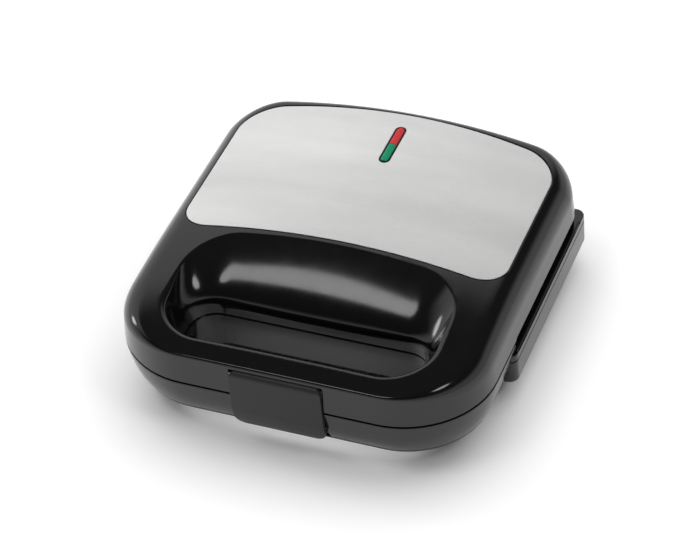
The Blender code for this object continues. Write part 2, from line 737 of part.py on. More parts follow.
def cut_clip_seat(lid):
    pin_y, pin_z = clip_pin_place()
    reach = CLIP_HALF_WIDTH + CLIP_PIN_REACH
    low_z = PARTING_Z + PARTING_GAP / 2
    block_low = (-reach - WALL, pin_y - CLIP_SEAT_LAP, pin_z - CLIP_BARREL - WALL)
    block_high = (reach + WALL, pin_y + CLIP_BARREL + WALL, LIP_Z - WALL / 2)
    boolean(lid, box("clip block", block_low, block_high), "UNION")
    seat_y = clip_back()[1]
    half = CLIP_HALF_WIDTH + RUNNING_GAP
    backing_low = (-half - WALL, pin_y - CLIP_SEAT_LAP, low_z)
    boolean(lid, box("seat backing", backing_low, (half + WALL, seat_y + WALL, pin_z)), "UNION")
    face_y = CLIP_FACE_Y - EXTRA
    seat = clip_outline(RUNNING_GAP, 0.0)
    boolean(lid, prism("clip seat face", seat, face_y, seat_y, "Y"))
    barrel = cylinder("clip seat", CLIP_BARREL + RUNNING_GAP, -half, half, (0, pin_y, pin_z), "X")
    sides = prism("clip seat sides", seat, face_y, pin_y + 2 * CLIP_BARREL, "Y")
    boolean(lid, settle(boolean(barrel, sides, "INTERSECT")))
    radius, reach = CLIP_PIN_RADIUS + GAP / 2, reach + GAP
    boolean(lid, cylinder("clip pin bore", radius, -reach, reach, (0, pin_y, pin_z), "X"))


def pill(name, half_length, half_width, low, high, paint=None, ends=(True, True)):
    """A slim plan with round ends along Y, at the lamp. An end can be cut square at the middle."""
    points = []
    centre = half_length - half_width
    if ends[0]:
        for i in range(CORNER_STEPS + 1):
            turn = math.pi * (1 + i / CORNER_STEPS)
            points.append((half_width * math.cos(turn), -centre + half_width * math.sin(turn)))
    else:
        points += [(-half_width, 0.0), (half_width, 0.0)]
    if ends[1]:
        for i in range(CORNER_STEPS + 1):
            turn = math.pi * i / CORNER_STEPS
            points.append((half_width * math.cos(turn), centre + half_width * math.sin(turn)))
    else:
        points += [(half_width, 0.0), (-half_width, 0.0)]
    return prism(name, [(x, y + LAMP_Y) for x, y in points], low, high, "Z", paint)


def make_trim_plate(paint):
    plate = sheet(
        "steel_trim_plate",
        trim_plan(),
        lambda x, y: crown(x) - PLATE_THICKNESS,
        lambda x, y: crown(x),
        paint,
    )
    boolean(plate, lamp_hole("trim lamp hole"))
    return settle(plate)


def make_indicator(paints):
    top = crown(0) + LAMP_STAND
    low = top - LAMP_DEPTH
    half_length, half_width = LAMP_LENGTH / 2, LAMP_WIDTH / 2
    bezel = pill("indicator_bezel", half_length, half_width, low, top, paints["black"])
    inner = pill("lens hole", half_length - LAMP_RIM, half_width - LAMP_RIM, low - EXTRA, top + EXTRA)
    settle(boolean(bezel, inner))
    lens_length, lens_width = half_length - LAMP_RIM - GAP, half_width - LAMP_RIM - GAP
    lens_top = crown(0) + LENS_STAND
    lenses = (("green_lens", "green", (True, False)), ("red_lens", "red", (False, True)))
    for name, colour, ends in lenses:
        lens = pill(name, lens_length, lens_width, low, lens_top, paints[colour], ends)
        shift = GAP / 2 if ends[1] else -GAP / 2
        lens.data.transform(Matrix.Translation((0, shift, 0)))
    make_lamp_board(paints)


def make_lamp_board(paints):
    """The small board under the indicator, with a neon lamp under each lens."""
    board_x, board_y, board_z = BOARD_SIZE
    low = (-board_x / 2, LAMP_Y - board_y / 2, BOARD_TOP_Z - board_z)
    high = (board_x / 2, LAMP_Y + board_y / 2, BOARD_TOP_Z)
    board = box("lamp_board", low, high, paints["board"])
    radius = BOARD_POST_RADIUS / 2 + GAP
    for side in (-1, 1):
        place = (0, LAMP_Y + side * BOARD_POST_Y, BOARD_TOP_Z)
        hole = cylinder(f"board hole {side}", radius, -2 * EXTRA, EXTRA, place, steps=SCREW_STEPS)
        boolean(board, hole)
    settle(board)
    profile = [
        (BULB_RADIUS * 0.5, -BULB_LENGTH / 2),
        (BULB_RADIUS, -BULB_LENGTH * 0.38),
        (BULB_RADIUS, BULB_LENGTH * 0.38),
        (BULB_RADIUS * 0.5, BULB_LENGTH / 2),
    ]
    for name, side in (("front_neon_lamp", -1), ("rear_neon_lamp", 1)):
        place = (0, LAMP_Y + side * LAMP_LENGTH / 4, BOARD_TOP_Z + GAP + BULB_RADIUS)
        turned(name, profile, place, paints["glass"], "Y", SCREW_STEPS)


def swung_face(name, degrees):
    """The seat's outline as the clip meets it when swung out, which rounds the clip's upper corners."""
    pin_y, pin_z = clip_pin_place()
    far = 4 * CLIP_HALF_WIDTH
    face = prism(name, clip_outline(0.0, -far), pin_y - far, pin_y + far, "Y")
    about = Vector((0, pin_y, pin_z))
    swing = Matrix.Rotation(math.radians(degrees), 4, "X")
    face.data.transform(Matrix.Translation(about) @ swing @ Matrix.Translation(-about))
    return face


def make_latch(paints):
    pin_y, pin_z = clip_pin_place()
    back_y = clip_back()[0]
    points = []
    for i in range(CORNER_STEPS + 1):
        turn = math.radians(180 - 180 * i / CORNER_STEPS)
        across, up = CLIP_BARREL * math.cos(turn), CLIP_BARREL * math.sin(turn)
        points.append((pin_y + across, pin_z + up))
    hook_y = CATCH_Y - CATCH_PLAY
    hook_top = CATCH_BOTTOM_Z - RUNNING_GAP
    points += [
        (pin_y + CLIP_BARREL * 0.7, pin_z - CLIP_BARREL * 0.7),
        (back_y, pin_z - CLIP_BARREL),
        (back_y, CLIP_BEND_Z),
        (back_y + CLIP_BEND_IN * 0.35, hook_top),
        (hook_y, hook_top),
        (hook_y, hook_top - HOOK_DEPTH * 0.5),
        (back_y + CLIP_BEND_IN, CLIP_BOTTOM_Z),
        (CLIP_FACE_Y + CLIP_BEND_IN, CLIP_BOTTOM_Z),
        (CLIP_FACE_Y + CLIP_BEND_IN * 0.45, (CLIP_BOTTOM_Z + CLIP_BEND_Z) / 2),
        (CLIP_FACE_Y, CLIP_BEND_Z),
    ]
    clip = prism("latch_clip", points, -CLIP_HALF_WIDTH, CLIP_HALF_WIDTH, "X", paints["grey"])
    front_y, rear_y = CLIP_FACE_Y - EXTRA, pin_y + 2 * CLIP_BARREL
    face = prism("clip face", clip_outline(0.0, CLIP_BOTTOM_Z), front_y, rear_y, "Y")
    boolean(clip, face, "INTERSECT")
    for share in (0.5, 1.0):
        boolean(clip, swung_face(f"clip face swung {share}", share * CLIP_SWING_OUT), "INTERSECT")
    place = (0, pin_y, pin_z)
    reach = CLIP_HALF_WIDTH + CLIP_PIN_REACH
    boolean(clip, cylinder("clip bore", CLIP_PIN_RADIUS + GAP, -reach, reach, place, "X"))
    settle(clip)
    cylinder("latch_pin", CLIP_PIN_RADIUS - GAP / 2, -reach, reach, place, "X", paints["steel"])


def base_form(name, inset, rise, paint=None):
    """The base's outer form under the parting plane, or with an inset and a rise its hollow."""
    top = PARTING_Z - PARTING_GAP / 2
    rings = []
    for share, taper in reversed(BASE_TAPER):
        height = top - share * (top - HANDLE_BOTTOM_Z) + share * rise
        rings.append(level(offset(plan(), inset + taper), height))
    if inset:
        rings.append(level(offset(plan(), inset), top + EXTRA))
    return stack(name, rings, paint)


def tub_form(name, inset, rise):
    """The deeper part of the base behind the handle, down to its bottom."""
    points = outline(TUB_HALF_WIDTH, TUB_FRONT_Y, TUB_REAR_Y, TUB_CORNER, TUB_CORNER)
    rings = []
    for height, taper in reversed(TUB_TAPER):
        rings.append(level(offset(points, inset + taper), BASE_BOTTOM_Z + height + rise))
    rings.append(level(offset(points, inset), TUB_TOP_Z + rise))
    return stack(name, rings)


def make_base_housing(paint):
    base = base_form("base_housing", 0.0, 0.0, paint)
    boolean(base, tub_form("tub", 0.0, 0.0), "UNION")
    base = settle(base)
    add_rails(base)
    boolean(base, gland_pad("gland pad"), "UNION")
    for side in (-1, 1):
        add_base_knuckles(base, side)
    base = settle(base)
    hollow = base_form("base hollow", WALL, WALL)
    boolean(hollow, tub_form("tub hollow", WALL, FLOOR), "UNION")
    hollow = settle(hollow)
    walls = base_well("base well walls", WALL)
    boolean(hollow, walls)
    top = PARTING_Z + 2 * EXTRA
    for side in (-1, 1):
        low, high = sorted((side * (HALF_WIDTH - SLOT_DEPTH - WALL), side * (HALF_WIDTH + EXTRA)))
        corner = (low, SLOT_FRONT_Y - WALL, RAIL_TOP_Z - 3 * WALL)
        boolean(hollow, box(f"slot backing {side}", corner, (high, SLOT_REAR_Y + WALL, top)))
    reach = CLIP_HALF_WIDTH + WALL
    corner = (-reach, FRONT_Y - EXTRA, HANDLE_BOTTOM_Z - EXTRA)
    boolean(hollow, box("catch backing", corner, (reach, CATCH_Y + HOOK_DEPTH + WALL, top)))
    boolean(hollow, gland_pad("gland pad inside"))
    hollow = settle(hollow)
    boolean(base, hollow)
    boolean(base, base_well("base well"))
    base = settle(base)
    add_base_bosses(base)
    cut_catch(base)
    for side in (-1, 1):
        boolean(base, slot_cutter(f"base slot {side}", side))
        boolean(base, pin_bore(f"base pin bore {side}", side))
    place = (GLAND_X, GLAND_PAD_Y, GLAND_Z)
    bore = cylinder("gland bore", GLAND_RADIUS + GAP, -3 * GLAND_PAD_DEPTH, GLAND_PAD_DEPTH, place, "Y")
    boolean(base, bore)
    return settle(base)


def add_rails(base):
    """The rail along each side, with its groove."""
    for side in (-1, 1):
        inner = RAIL_HALF_WIDTH - RAIL_DEPTH
        points = rail_plan(side, inner, 0.0)
        lower = level(rail_plan(side, inner, RAIL_CHAMFER_IN), RAIL_BOTTOM_Z)
        shoulder = level(points, RAIL_BOTTOM_Z + RAIL_CHAMFER_UP)
        rail = stack(f"rail {side}", [lower, shoulder, level(points, RAIL_TOP_Z)])
        boolean(base, rail, "UNION")
        edge = RAIL_HALF_WIDTH - RAIL_GROOVE
        low, high = sorted((side * edge, side * (RAIL_HALF_WIDTH + EXTRA)))
        corner = (low, RAIL_FRONT_Y - EXTRA, RAIL_GROOVE_Z - RAIL_GROOVE / 2)
        far_corner = (high, RAIL_REAR_Y + EXTRA, RAIL_GROOVE_Z + RAIL_GROOVE / 2)
        boolean(base, box(f"rail groove {side}", corner, far_corner))


def rail_plan(side, inner, inset):
    """A rail's plan: straight outside, with round ends where it meets the tapered wall."""
    radius = RAIL_DEPTH * 0.45
    outer = RAIL_HALF_WIDTH - inset
    points = [(inner, RAIL_FRONT_Y + inset)]
    for start, centre_y in ((-90, RAIL_FRONT_Y + inset + radius), (0, RAIL_REAR_Y - inset - radius)):
        for i in range(CORNER_STEPS + 1):
            turn = math.radians(start + 90 * i / CORNER_STEPS)
            points.append((outer - radius + radius * math.cos(turn), centre_y + radius * math.sin(turn)))
    points.append((inner, RAIL_REAR_Y - inset))
    return [(side * x, y) for x, y in points]


def gland_pad(name):
    reach = GLAND_FLANGE + GLAND_PAD_MARGIN
    low = (GLAND_X - reach, GLAND_PAD_Y - GLAND_PAD_DEPTH, GLAND_Z - reach)
    return box(name, low, (GLAND_X + reach, GLAND_PAD_Y, GLAND_Z + reach))


def add_base_knuckles(base, side):
    """Two lugs per side, which stand up from the rear wall round the hinge pin."""
    root_y = HINGE_Y - KNUCKLE_RADIUS * 2.6
    lid_start = KNUCKLE_INNER_X + KNUCKLE_WIDTH + RUNNING_GAP
    boolean(base, knuckle_room(f"knuckle room {side}", side, lid_start, LID_KNUCKLE_WIDTH))
    for start in lug_starts():
        low, high = sorted((side * start, side * (start + KNUCKLE_WIDTH)))
        points = [(root_y, LUG_BOTTOM_Z), (HINGE_Y - KNUCKLE_RADIUS * 0.6, LUG_BOTTOM_Z)]
        points += list(knuckle_arc(-50, 200))
        edge_z = PARTING_Z - PARTING_GAP / 2
        points += [(HINGE_Y - KNUCKLE_RADIUS, edge_z), (root_y, edge_z)]
        boolean(base, prism(f"lug {side} {start:.4f}", points, low, high, "X"), "UNION")


def knuckle_arc(first, last):
    for i in range(ROUND_STEPS + 1):
        turn = math.radians(first + (last - first) * i / ROUND_STEPS)
        yield HINGE_Y + KNUCKLE_RADIUS * math.cos(turn), PARTING_Z + KNUCKLE_RADIUS * math.sin(turn)


def add_base_bosses(base):
    """Posts for the plate and frame screws, as the lid's turned over, and seats for the cover's."""
    mirror = 2 * PARTING_Z
    floor = BASE_BOTTOM_Z + FLOOR / 2
    shoulder = PARTING_Z + REFLECTOR_OFFSET + REFLECTOR_SHEET + GAP
    foot = PARTING_Z + GRID_MEET + GRID_SHEET + GAP
    frame_foot = frame_low() + FRAME_THICKNESS + GAP
    for i, (x, y) in enumerate(plate_screw_places()):
        profile = [
            (BOSS_SHOULDER_RADIUS, floor),
            (BOSS_SHOULDER_RADIUS, mirror - shoulder),
            (BOSS_RADIUS, mirror - shoulder),
            (BOSS_RADIUS, mirror - foot),
        ]
        boolean(base, turned(f"base post {i}", profile, (x, y, 0)), "UNION")
        boolean(base, to_lower(screw_bore(f"base bore {i}", (x, y, lid_screw_seat()))))
    for i, (x, y) in enumerate(frame_screw_places()):
        floor_z = HANDLE_BOTTOM_Z + WALL / 2
        post = cylinder(f"base frame post {i}", BOSS_RADIUS, floor_z, mirror - frame_foot, (x, y, 0))
        boolean(base, post, "UNION")
        boolean(base, to_lower(screw_bore(f"base frame bore {i}", (x, y, frame_low() + SCREW_SINK))))
    below = BASE_BOTTOM_Z - EXTRA
    half_x, half_y = COVER_HALF_X - COVER_LAP, COVER_HALF_Y - COVER_LAP
    lap = outline_box(half_x, half_y, COVER_Y, COVER_CORNER - COVER_LAP / 2)
    boolean(base, prism("cover opening", lap, below, BASE_BOTTOM_Z + FLOOR + EXTRA, "Z"))
    for i, (x, y) in enumerate(cover_screw_places()):
        post = cylinder(f"cover post {i}", BOSS_RADIUS, floor, COVER_BOSS_TOP_Z, (x, y, 0))
        boolean(base, post, "UNION")
        boolean(base, screw_bore(f"cover bore {i}", (x, y, BASE_BOTTOM_Z + SCREW_SINK)))
    rebate = outline_box(COVER_HALF_X + GAP, COVER_HALF_Y + GAP, COVER_Y, COVER_CORNER)
    boolean(base, prism("cover rebate", rebate, below, BASE_BOTTOM_Z + COVER_THICKNESS + GAP, "Z"))
    radius, high = FOOT_STEM_RADIUS + GAP, FLOOR + 2 * EXTRA
    for i, (x, y) in enumerate(foot_places()):
        boolean(base, cylinder(f"foot hole {i}", radius, 0.0, high, (x, y, 0.0), steps=SCREW_STEPS))


def outline_box(half_x, half_y, middle, corner):
    return outline(half_x, middle - half_y, middle + half_y, corner, corner)


def cut_catch(base):
    """The catch that the clip's hook goes under: a seat for the clip, and a pocket below it."""
    half = CLIP_HALF_WIDTH + RUNNING_GAP
    front = FRONT_Y - 3 * EXTRA
    seat_low = (-half, front, HANDLE_BOTTOM_Z - EXTRA)
    boolean(base, box("catch seat", seat_low, (half, CATCH_Y, PARTING_Z + EXTRA)))
    pocket_low = (-half, front, CLIP_BOTTOM_Z - CATCH_ROOM)
    boolean(base, box("catch pocket", pocket_low, (half, CATCH_Y + HOOK_DEPTH, CATCH_BOTTOM_Z)))


def make_frame(name, paint, lower=False):
    """The panel that fills a housing's mouth round its cooking plate and the handle opening."""
    low = frame_low()
    high = low + FRAME_THICKNESS
    panel = prism(name, frame_plan(), low, high, "Z", paint)
    if lower:
        well_hole = to_lower(base_well("frame well", WALL + GAP))
    else:
        well_hole = lid_well("frame well", WALL + GAP)
    boolean(panel, well_hole)
    boolean(panel, prism("frame grid hole", grid_plan(GAP), low - EXTRA, high + EXTRA, "Z"))
    for i, (x, y) in enumerate(frame_screw_places()):
        boolean(panel, screw_bore(f"frame bore {i}", (x, y, low + SCREW_SINK)))
    under, over = low - EXTRA, high + EXTRA
    if lower:
        inner, outer = HALF_WIDTH - SLOT_DEPTH - WALL - GAP, HALF_WIDTH + EXTRA
        front_y, rear_y = SLOT_FRONT_Y - WALL - GAP, SLOT_REAR_Y + WALL + GAP
        for side in (-1, 1):
            near, far = sorted((side * inner, side * outer))
            boolean(panel, box(f"frame notch {side}", (near, front_y, under), (far, rear_y, over)))
        reach = CLIP_HALF_WIDTH + WALL + GAP
        back_y = CATCH_Y + HOOK_DEPTH + WALL + GAP
    else:
        for side in (-1, 1):
            boolean(panel, slot_cutter(f"frame slot {side}", side))
        reach = CLIP_HALF_WIDTH + WALL + 2 * RUNNING_GAP
        back_y = clip_back()[1] + WALL + GAP
    boolean(panel, box("frame clip notch", (-reach, FRONT_Y, under), (reach, back_y, over)))
    panel = settle(panel)
    return to_lower(panel) if lower else panel


def triangle(centre_x, turn, inset):
    """One triangle of a slice's square, moved in from its sides."""
    half = SLICE_SIZE / 2
    corners = [(-half, -half), (half, -half), (-half, half)]
    inner_radius = SLICE_SIZE * (1 - math.sqrt(0.5))
    middle = -half + inner_radius
    size = 1 - inset / inner_radius
    points = []
    for x, y in corners:
        x, y = middle + (x - middle) * size, middle + (y - middle) * size
        points.append((centre_x + turn * x, GRID_Y + turn * y))
    return points


def make_cooking_plate(name, paint, lower=False):
    """A pressed plate with two slices, each parted by a ridge from corner to corner."""
    face = PARTING_Z + GRID_MEET
    plate = prism(name, grid_plan(), face, face + GRID_SHEET, "Z", paint)
    half = SLICE_SIZE / 2
    root = outline_box(half, half, GRID_Y, BUMP_CORNER)
    crest = outline_box(half - POCKET_DRAFT, half - POCKET_DRAFT, GRID_Y, BUMP_CREST_CORNER)
    bump = ((root, face + GRID_SHEET / 2), (crest, face + POCKET_DEPTH + BUMP_WALL))
    slope = POCKET_DRAFT / POCKET_DEPTH
    for side in (-1, 1):
        centre_x = side * SLICE_X
        rings = [level([(x + centre_x, y) for x, y in points], height) for points, height in bump]
        boolean(plate, stack(f"bump {side}", rings), "UNION")
        for turn in (-1, 1):
            rings = []
            for depth in (-EXTRA, POCKET_DEPTH):
                inset = RIDGE_WIDTH / 2 + slope * depth
                rings.append(level(triangle(centre_x, turn, inset), face + depth))
            boolean(plate, stack(f"pocket {side} {turn}", rings))
    for i, (x, y) in enumerate(plate_screw_places()):
        boolean(plate, screw_bore(f"plate bore {i}", (x, y, lid_screw_seat())))
    plate = settle(plate)
    return to_lower(plate) if lower else plate


def grid_back():
    return PARTING_Z + GRID_MEET + POCKET_DEPTH + BUMP_WALL


def make_element(name, paint, lower=False):
    """A tubular element on the plate's back: an open loop with its two ends at the rear."""
    height = grid_back() + GAP + ELEMENT_RADIUS
    loop = outline_box(ELEMENT_HALF_X, ELEMENT_HALF_Y, GRID_Y, ELEMENT_CORNER)
    half = len(loop) // 2
    rear = GRID_Y + ELEMENT_HALF_Y
    route = [(ELEMENT_TAIL_X, rear)]
    for x, y in reversed(loop[: half + 1]):
        if y < rear - GAP or x > ELEMENT_TAIL_X:
            route.append((x, y))
    route += [(-x, y) for x, y in reversed(route[:-1])]
    rings = []
    for i, (x, y) in enumerate(route):
        before, after = Vector(route[max(i - 1, 0)]), Vector(route[min(i + 1, len(route) - 1)])
        along = (after - before).normalized()
        ring = []
        for k in range(SCREW_STEPS):
            turn = 2 * math.pi * k / SCREW_STEPS
            out = ELEMENT_RADIUS * math.cos(turn)
            ring.append((x + along.y * out, y - along.x * out, height + ELEMENT_RADIUS * math.sin(turn)))
        rings.append(ring)
    tube = stack(name, rings, paint)
    return to_lower(tube) if lower else tube


def make_reflector(name, paint, lower=False):
    """A sheet tray behind the element, seated against the shoulders of the screw posts."""
    low = PARTING_Z + REFLECTOR_OFFSET
    outer = outline_box(REFLECTOR_HALF_X, REFLECTOR_HALF_Y, GRID_Y, REFLECTOR_CORNER)
    tray = prism(name, outer, low - REFLECTOR_RIM, low + REFLECTOR_SHEET, "Z", paint)
    inner = offset(outer, REFLECTOR_SHEET)
    boolean(tray, prism("tray inside", inner, low - REFLECTOR_RIM - EXTRA, low, "Z"))
    for i, (x, y) in enumerate(plate_screw_places()):
        hole = cylinder(f"tray hole {i}", BOSS_RADIUS + GAP, -EXTRA, EXTRA, (x, y, low))
        boolean(tray, hole)
    tray = settle(tray)
    return to_lower(tray) if lower else tray


def make_underside(paints):
    cover_top = BASE_BOTTOM_Z + COVER_THICKNESS
    points = outline_box(COVER_HALF_X, COVER_HALF_Y, COVER_Y, COVER_CORNER)
    cover = prism("bottom_cover", points, BASE_BOTTOM_Z, cover_top, "Z", paints["black"])
    for i, (x, y) in enumerate(cover_screw_places()):
        boolean(cover, screw_bore(f"cover hole {i}", (x, y, cover_screw_seat())))
    settle(cover)
    profile = [
        (FOOT_RADIUS - FOOT_CHAMFER, 0.0),
        (FOOT_RADIUS, FOOT_CHAMFER),
        (FOOT_RADIUS, BASE_BOTTOM_Z - GAP),
        (FOOT_STEM_RADIUS, BASE_BOTTOM_Z - GAP),
        (FOOT_STEM_RADIUS, BASE_BOTTOM_Z + FOOT_STEM_HEIGHT),
    ]
    names = ("front_left_foot", "front_right_foot", "rear_left_foot", "rear_right_foot")
    for name, (x, y) in zip(names, foot_places()):
        turned(name, profile, (x, y, 0), paints["rubber"])


def make_base_fittings(paints):
    place = (GLAND_X, GLAND_PAD_Y, GLAND_Z)
    profile = [
        (GLAND_RADIUS, -GLAND_PAD_DEPTH),
        (GLAND_RADIUS, GAP),
        (GLAND_FLANGE, GAP),
        (GLAND_FLANGE, GAP + GLAND_FLANGE_THICKNESS),
    ]
    gland = turned("cord_gland", profile, place, paints["rubber"], "Y")
    bore = cylinder("gland hole", GLAND_BORE, -2 * GLAND_PAD_DEPTH, GLAND_PAD_DEPTH, place, "Y")
    settle(boolean(gland, bore))
    size_x, size_y, size_z = TERMINAL_SIZE
    floor = BASE_BOTTOM_Z + FLOOR + GAP
    low = (TERMINAL_X - size_x / 2, TERMINAL_Y - size_y / 2, floor)
    box("terminal_block", low, (low[0] + size_x, low[1] + size_y, floor + size_z), paints["white"])
    back = 2 * PARTING_Z - grid_back() - GAP
    place = (THERMOSTAT_X, GRID_Y, back - FUSE_RADIUS)
    half = FUSE_LENGTH / 2
    cylinder("thermal_fuse", FUSE_RADIUS, -half, half, place, "X", paints["white"], SCREW_STEPS)
    place = (THERMOSTAT_X, GRID_Y, grid_back() + GAP)
    profile = [
        (THERMOSTAT_RADIUS, 0.0),
        (THERMOSTAT_RADIUS, THERMOSTAT_HEIGHT * 0.6),
        (THERMOSTAT_RADIUS * 0.7, THERMOSTAT_HEIGHT),
    ]
    turned("thermostat", profile, place, paints["steel"])


def make_hinge_pins(paint):
    length = 2 * KNUCKLE_WIDTH + LID_KNUCKLE_WIDTH + 2 * RUNNING_GAP
    for name, side in (("left_hinge_pin", -1), ("right_hinge_pin", 1)):
        low, high = sorted((side * KNUCKLE_INNER_X, side * (KNUCKLE_INNER_X + length)))
        cylinder(name, HINGE_PIN_RADIUS - GAP / 2, low, high, (0, HINGE_Y, PARTING_Z), "X", paint)


def make_screws(paint):
    for i, (x, y) in enumerate(plate_screw_places(), 1):
        screw(f"upper_plate_screw_{i}", (x, y, lid_screw_seat()), paint)
        to_lower(screw(f"lower_plate_screw_{i}", (x, y, lid_screw_seat()), paint))
    for i, (x, y) in enumerate(frame_screw_places(), 1):
        screw(f"lid_frame_screw_{i}", (x, y, frame_low() + SCREW_SINK), paint)
        to_lower(screw(f"base_frame_screw_{i}", (x, y, frame_low() + SCREW_SINK), paint))
    for i, (x, y) in enumerate(cover_screw_places(), 1):
        screw(f"cover_screw_{i}", (x, y, cover_screw_seat()), paint)


def hang_on_axis(name, place, members, parent=None):
    """An empty on a joint's axis, which carries the pieces that move about it."""
    axis = bpy.data.objects.new(name, None)
    bpy.context.scene.collection.objects.link(axis)
    axis.parent = parent
    axis.matrix_world = Matrix.Translation(place)
    bpy.context.view_layer.update()
    for member in members:
        member.parent = axis
        member.matrix_parent_inverse = axis.matrix_world.inverted()
    return axis


def hang_moving_pieces():
    """The lid's pieces turn about the hinge pins, and the clip turns with the lid and about its own pin."""
    lid_words = ("lid_", "upper_", "lens", "neon_lamp", "lamp_board", "indicator", "trim_plate")
    pieces = [made for made in bpy.data.objects if made.type == "MESH"]
    lid = [made for made in pieces if any(word in made.name for word in lid_words)]
    lid += [bpy.data.objects["thermostat"], bpy.data.objects["latch_pin"]]
    lid_axis = hang_on_axis("lid axis", (0, HINGE_Y, PARTING_Z), lid)
    hang_on_axis("latch axis", (0, *clip_pin_place()), [bpy.data.objects["latch_clip"]], lid_axis)


def main():
    for old in list(bpy.data.objects):
        bpy.data.objects.remove(old)
    paints = {
        "gloss": material("gloss black plastic", (0.012, 0.012, 0.013), 0.0, 0.12),
        "black": material("matt black plastic", (0.02, 0.02, 0.021), 0.0, 0.4),
        "grey": material("satin grey plastic", (0.042, 0.042, 0.043), 0.0, 0.45),
        "brushed": material("brushed steel", (0.62, 0.62, 0.61), 1.0, 0.3),
        "steel": material("plain steel", (0.55, 0.55, 0.56), 1.0, 0.3),
        "coating": material("non-stick coating", (0.03, 0.03, 0.032), 0.0, 0.35),
        "red": material("red lens", (0.55, 0.02, 0.02), 0.0, 0.15),
        "green": material("green lens", (0.0, 0.22, 0.12), 0.0, 0.15),
        "glass": material("lamp glass", (0.8, 0.8, 0.78), 0.0, 0.05),
        "board": material("circuit board", (0.3, 0.2, 0.08), 0.0, 0.6),
        "rubber": material("black rubber", (0.02, 0.02, 0.02), 0.0, 0.8),
        "white": material("white ceramic", (0.75, 0.74, 0.7), 0.0, 0.5),
    }
    make_lid_housing(paints["gloss"])
    make_trim_plate(paints["brushed"])
    make_indicator(paints)
    make_frame("lid_frame", paints["black"])
    make_cooking_plate("upper_cooking_plate", paints["coating"])
    make_element("upper_heating_element", paints["steel"])
    make_reflector("upper_reflector", paints["steel"])
    make_latch(paints)
    make_base_housing(paints["gloss"])
    make_frame("base_frame", paints["black"], lower=True)
    make_cooking_plate("lower_cooking_plate", paints["coating"], lower=True)
    make_element("lower_heating_element", paints["steel"], lower=True)
    make_reflector("lower_reflector", paints["steel"], lower=True)
    make_underside(paints)
    make_base_fittings(paints)
    make_hinge_pins(paints["steel"])
    make_screws(paints["steel"])
    hang_moving_pieces()


main()
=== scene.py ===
import math

import bmesh
import bpy
from bpy.props import FloatProperty, FloatVectorProperty, PointerProperty
from bpy.types import Operator, Panel, PropertyGroup
from mathutils import Matrix, Vector


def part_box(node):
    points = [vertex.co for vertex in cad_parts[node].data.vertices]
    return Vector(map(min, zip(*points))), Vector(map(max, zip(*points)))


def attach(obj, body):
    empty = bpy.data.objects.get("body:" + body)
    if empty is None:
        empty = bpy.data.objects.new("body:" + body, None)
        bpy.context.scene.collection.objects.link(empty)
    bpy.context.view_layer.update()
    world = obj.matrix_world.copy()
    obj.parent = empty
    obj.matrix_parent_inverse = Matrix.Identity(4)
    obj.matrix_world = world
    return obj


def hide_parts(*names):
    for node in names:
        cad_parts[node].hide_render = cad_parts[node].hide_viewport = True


bl_info = {
    "name": "Sandwich toaster",
    "version": (1, 0, 0),
    "blender": (4, 5, 0),
    "location": "3D View > Sidebar > Toaster",
    "description": "Builds the visible shells, metal and plastic of a two-slice sandwich toaster",
    "category": "Object",
}

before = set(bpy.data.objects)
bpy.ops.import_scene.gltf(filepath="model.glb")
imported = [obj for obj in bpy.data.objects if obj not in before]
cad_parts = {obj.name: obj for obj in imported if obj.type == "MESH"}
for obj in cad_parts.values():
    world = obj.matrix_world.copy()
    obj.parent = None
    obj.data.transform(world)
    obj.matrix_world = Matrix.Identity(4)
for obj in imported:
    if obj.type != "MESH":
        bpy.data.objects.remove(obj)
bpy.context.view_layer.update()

MM = 0.001
FULL_TURN = 2 * math.pi

# Steps along straight stretches, corners, curved walls, domes, turned parts, the rim's blend and the roll
EDGE_STEPS = 12
CORNER_STEPS = 16
WALL_STEPS = 10
DOME_STEPS = 48
ROUND_STEPS = 40
FOOT_STEPS = 16
BLEND_STEPS = 10
LEVELS = 60
WELL_LEVELS_KEPT = 6
SLAB_STRIPS = 96
LENS_COLUMNS = 12
LENS_ROWS = 96

# The least length of a step along a line, and the distance under which points are one
TINY = 1e-12
WELD = 1e-6

# How far cutters reach past what they cut, and the gaps between pieces that stand still or that move
REACH = 4 * MM
GAP = 0.35 * MM
RUNNING_GAP = 0.4 * MM

# Soft edges, and the share of an edge's width that its middle ring has used up
EDGE_SOFT = 0.6 * MM
EASE = 0.3
SEAT_SOFT = 0.35 * MM
RECESS_SOFT = 0.3 * MM
KNUCKLE_SOFT = 0.4 * MM
RAIL_SOFT = 0.7 * MM
SLOT_EASE = 0.2
SLOT_END = 0.4
WELL_EDGE = 1.2
PARTING_STEP = 0.2 * MM

# Width, segments and least angle of the rounding of the steel plate's edges and of the clip's
PLATE_BEVEL = 0.25 * MM, 2, 60
CLIP_BEVEL = 0.25 * MM, 3, 35

# Angles in degrees over which an edge is sharp, or under which it is flat, and the large faces' weight
SHARP_ANGLE = 36
SHARP_FINE = 50
SHARP_CLIP = 40
FLAT_ANGLE = 1
LARGE_FACES = 90

# The lid's crown, and the opening's rolled rear wall with its rim
CROWN_AT = 100 * MM
WALL_BOW = 3 * MM
ROLL_BOW = 0.4
ROLL_CROWN = 0.5
RISE_LIMIT = 1.2
GROW_DROP = 0.8
RIM_LEAD = 0.8 * MM
RIM_LIFT = 0.25 * MM
RIM_SOFT = 2.2 * MM
BLEND_DROP = 0.6
WEDGE_GAIN = 1.3
WEDGE_POWER = 1.5

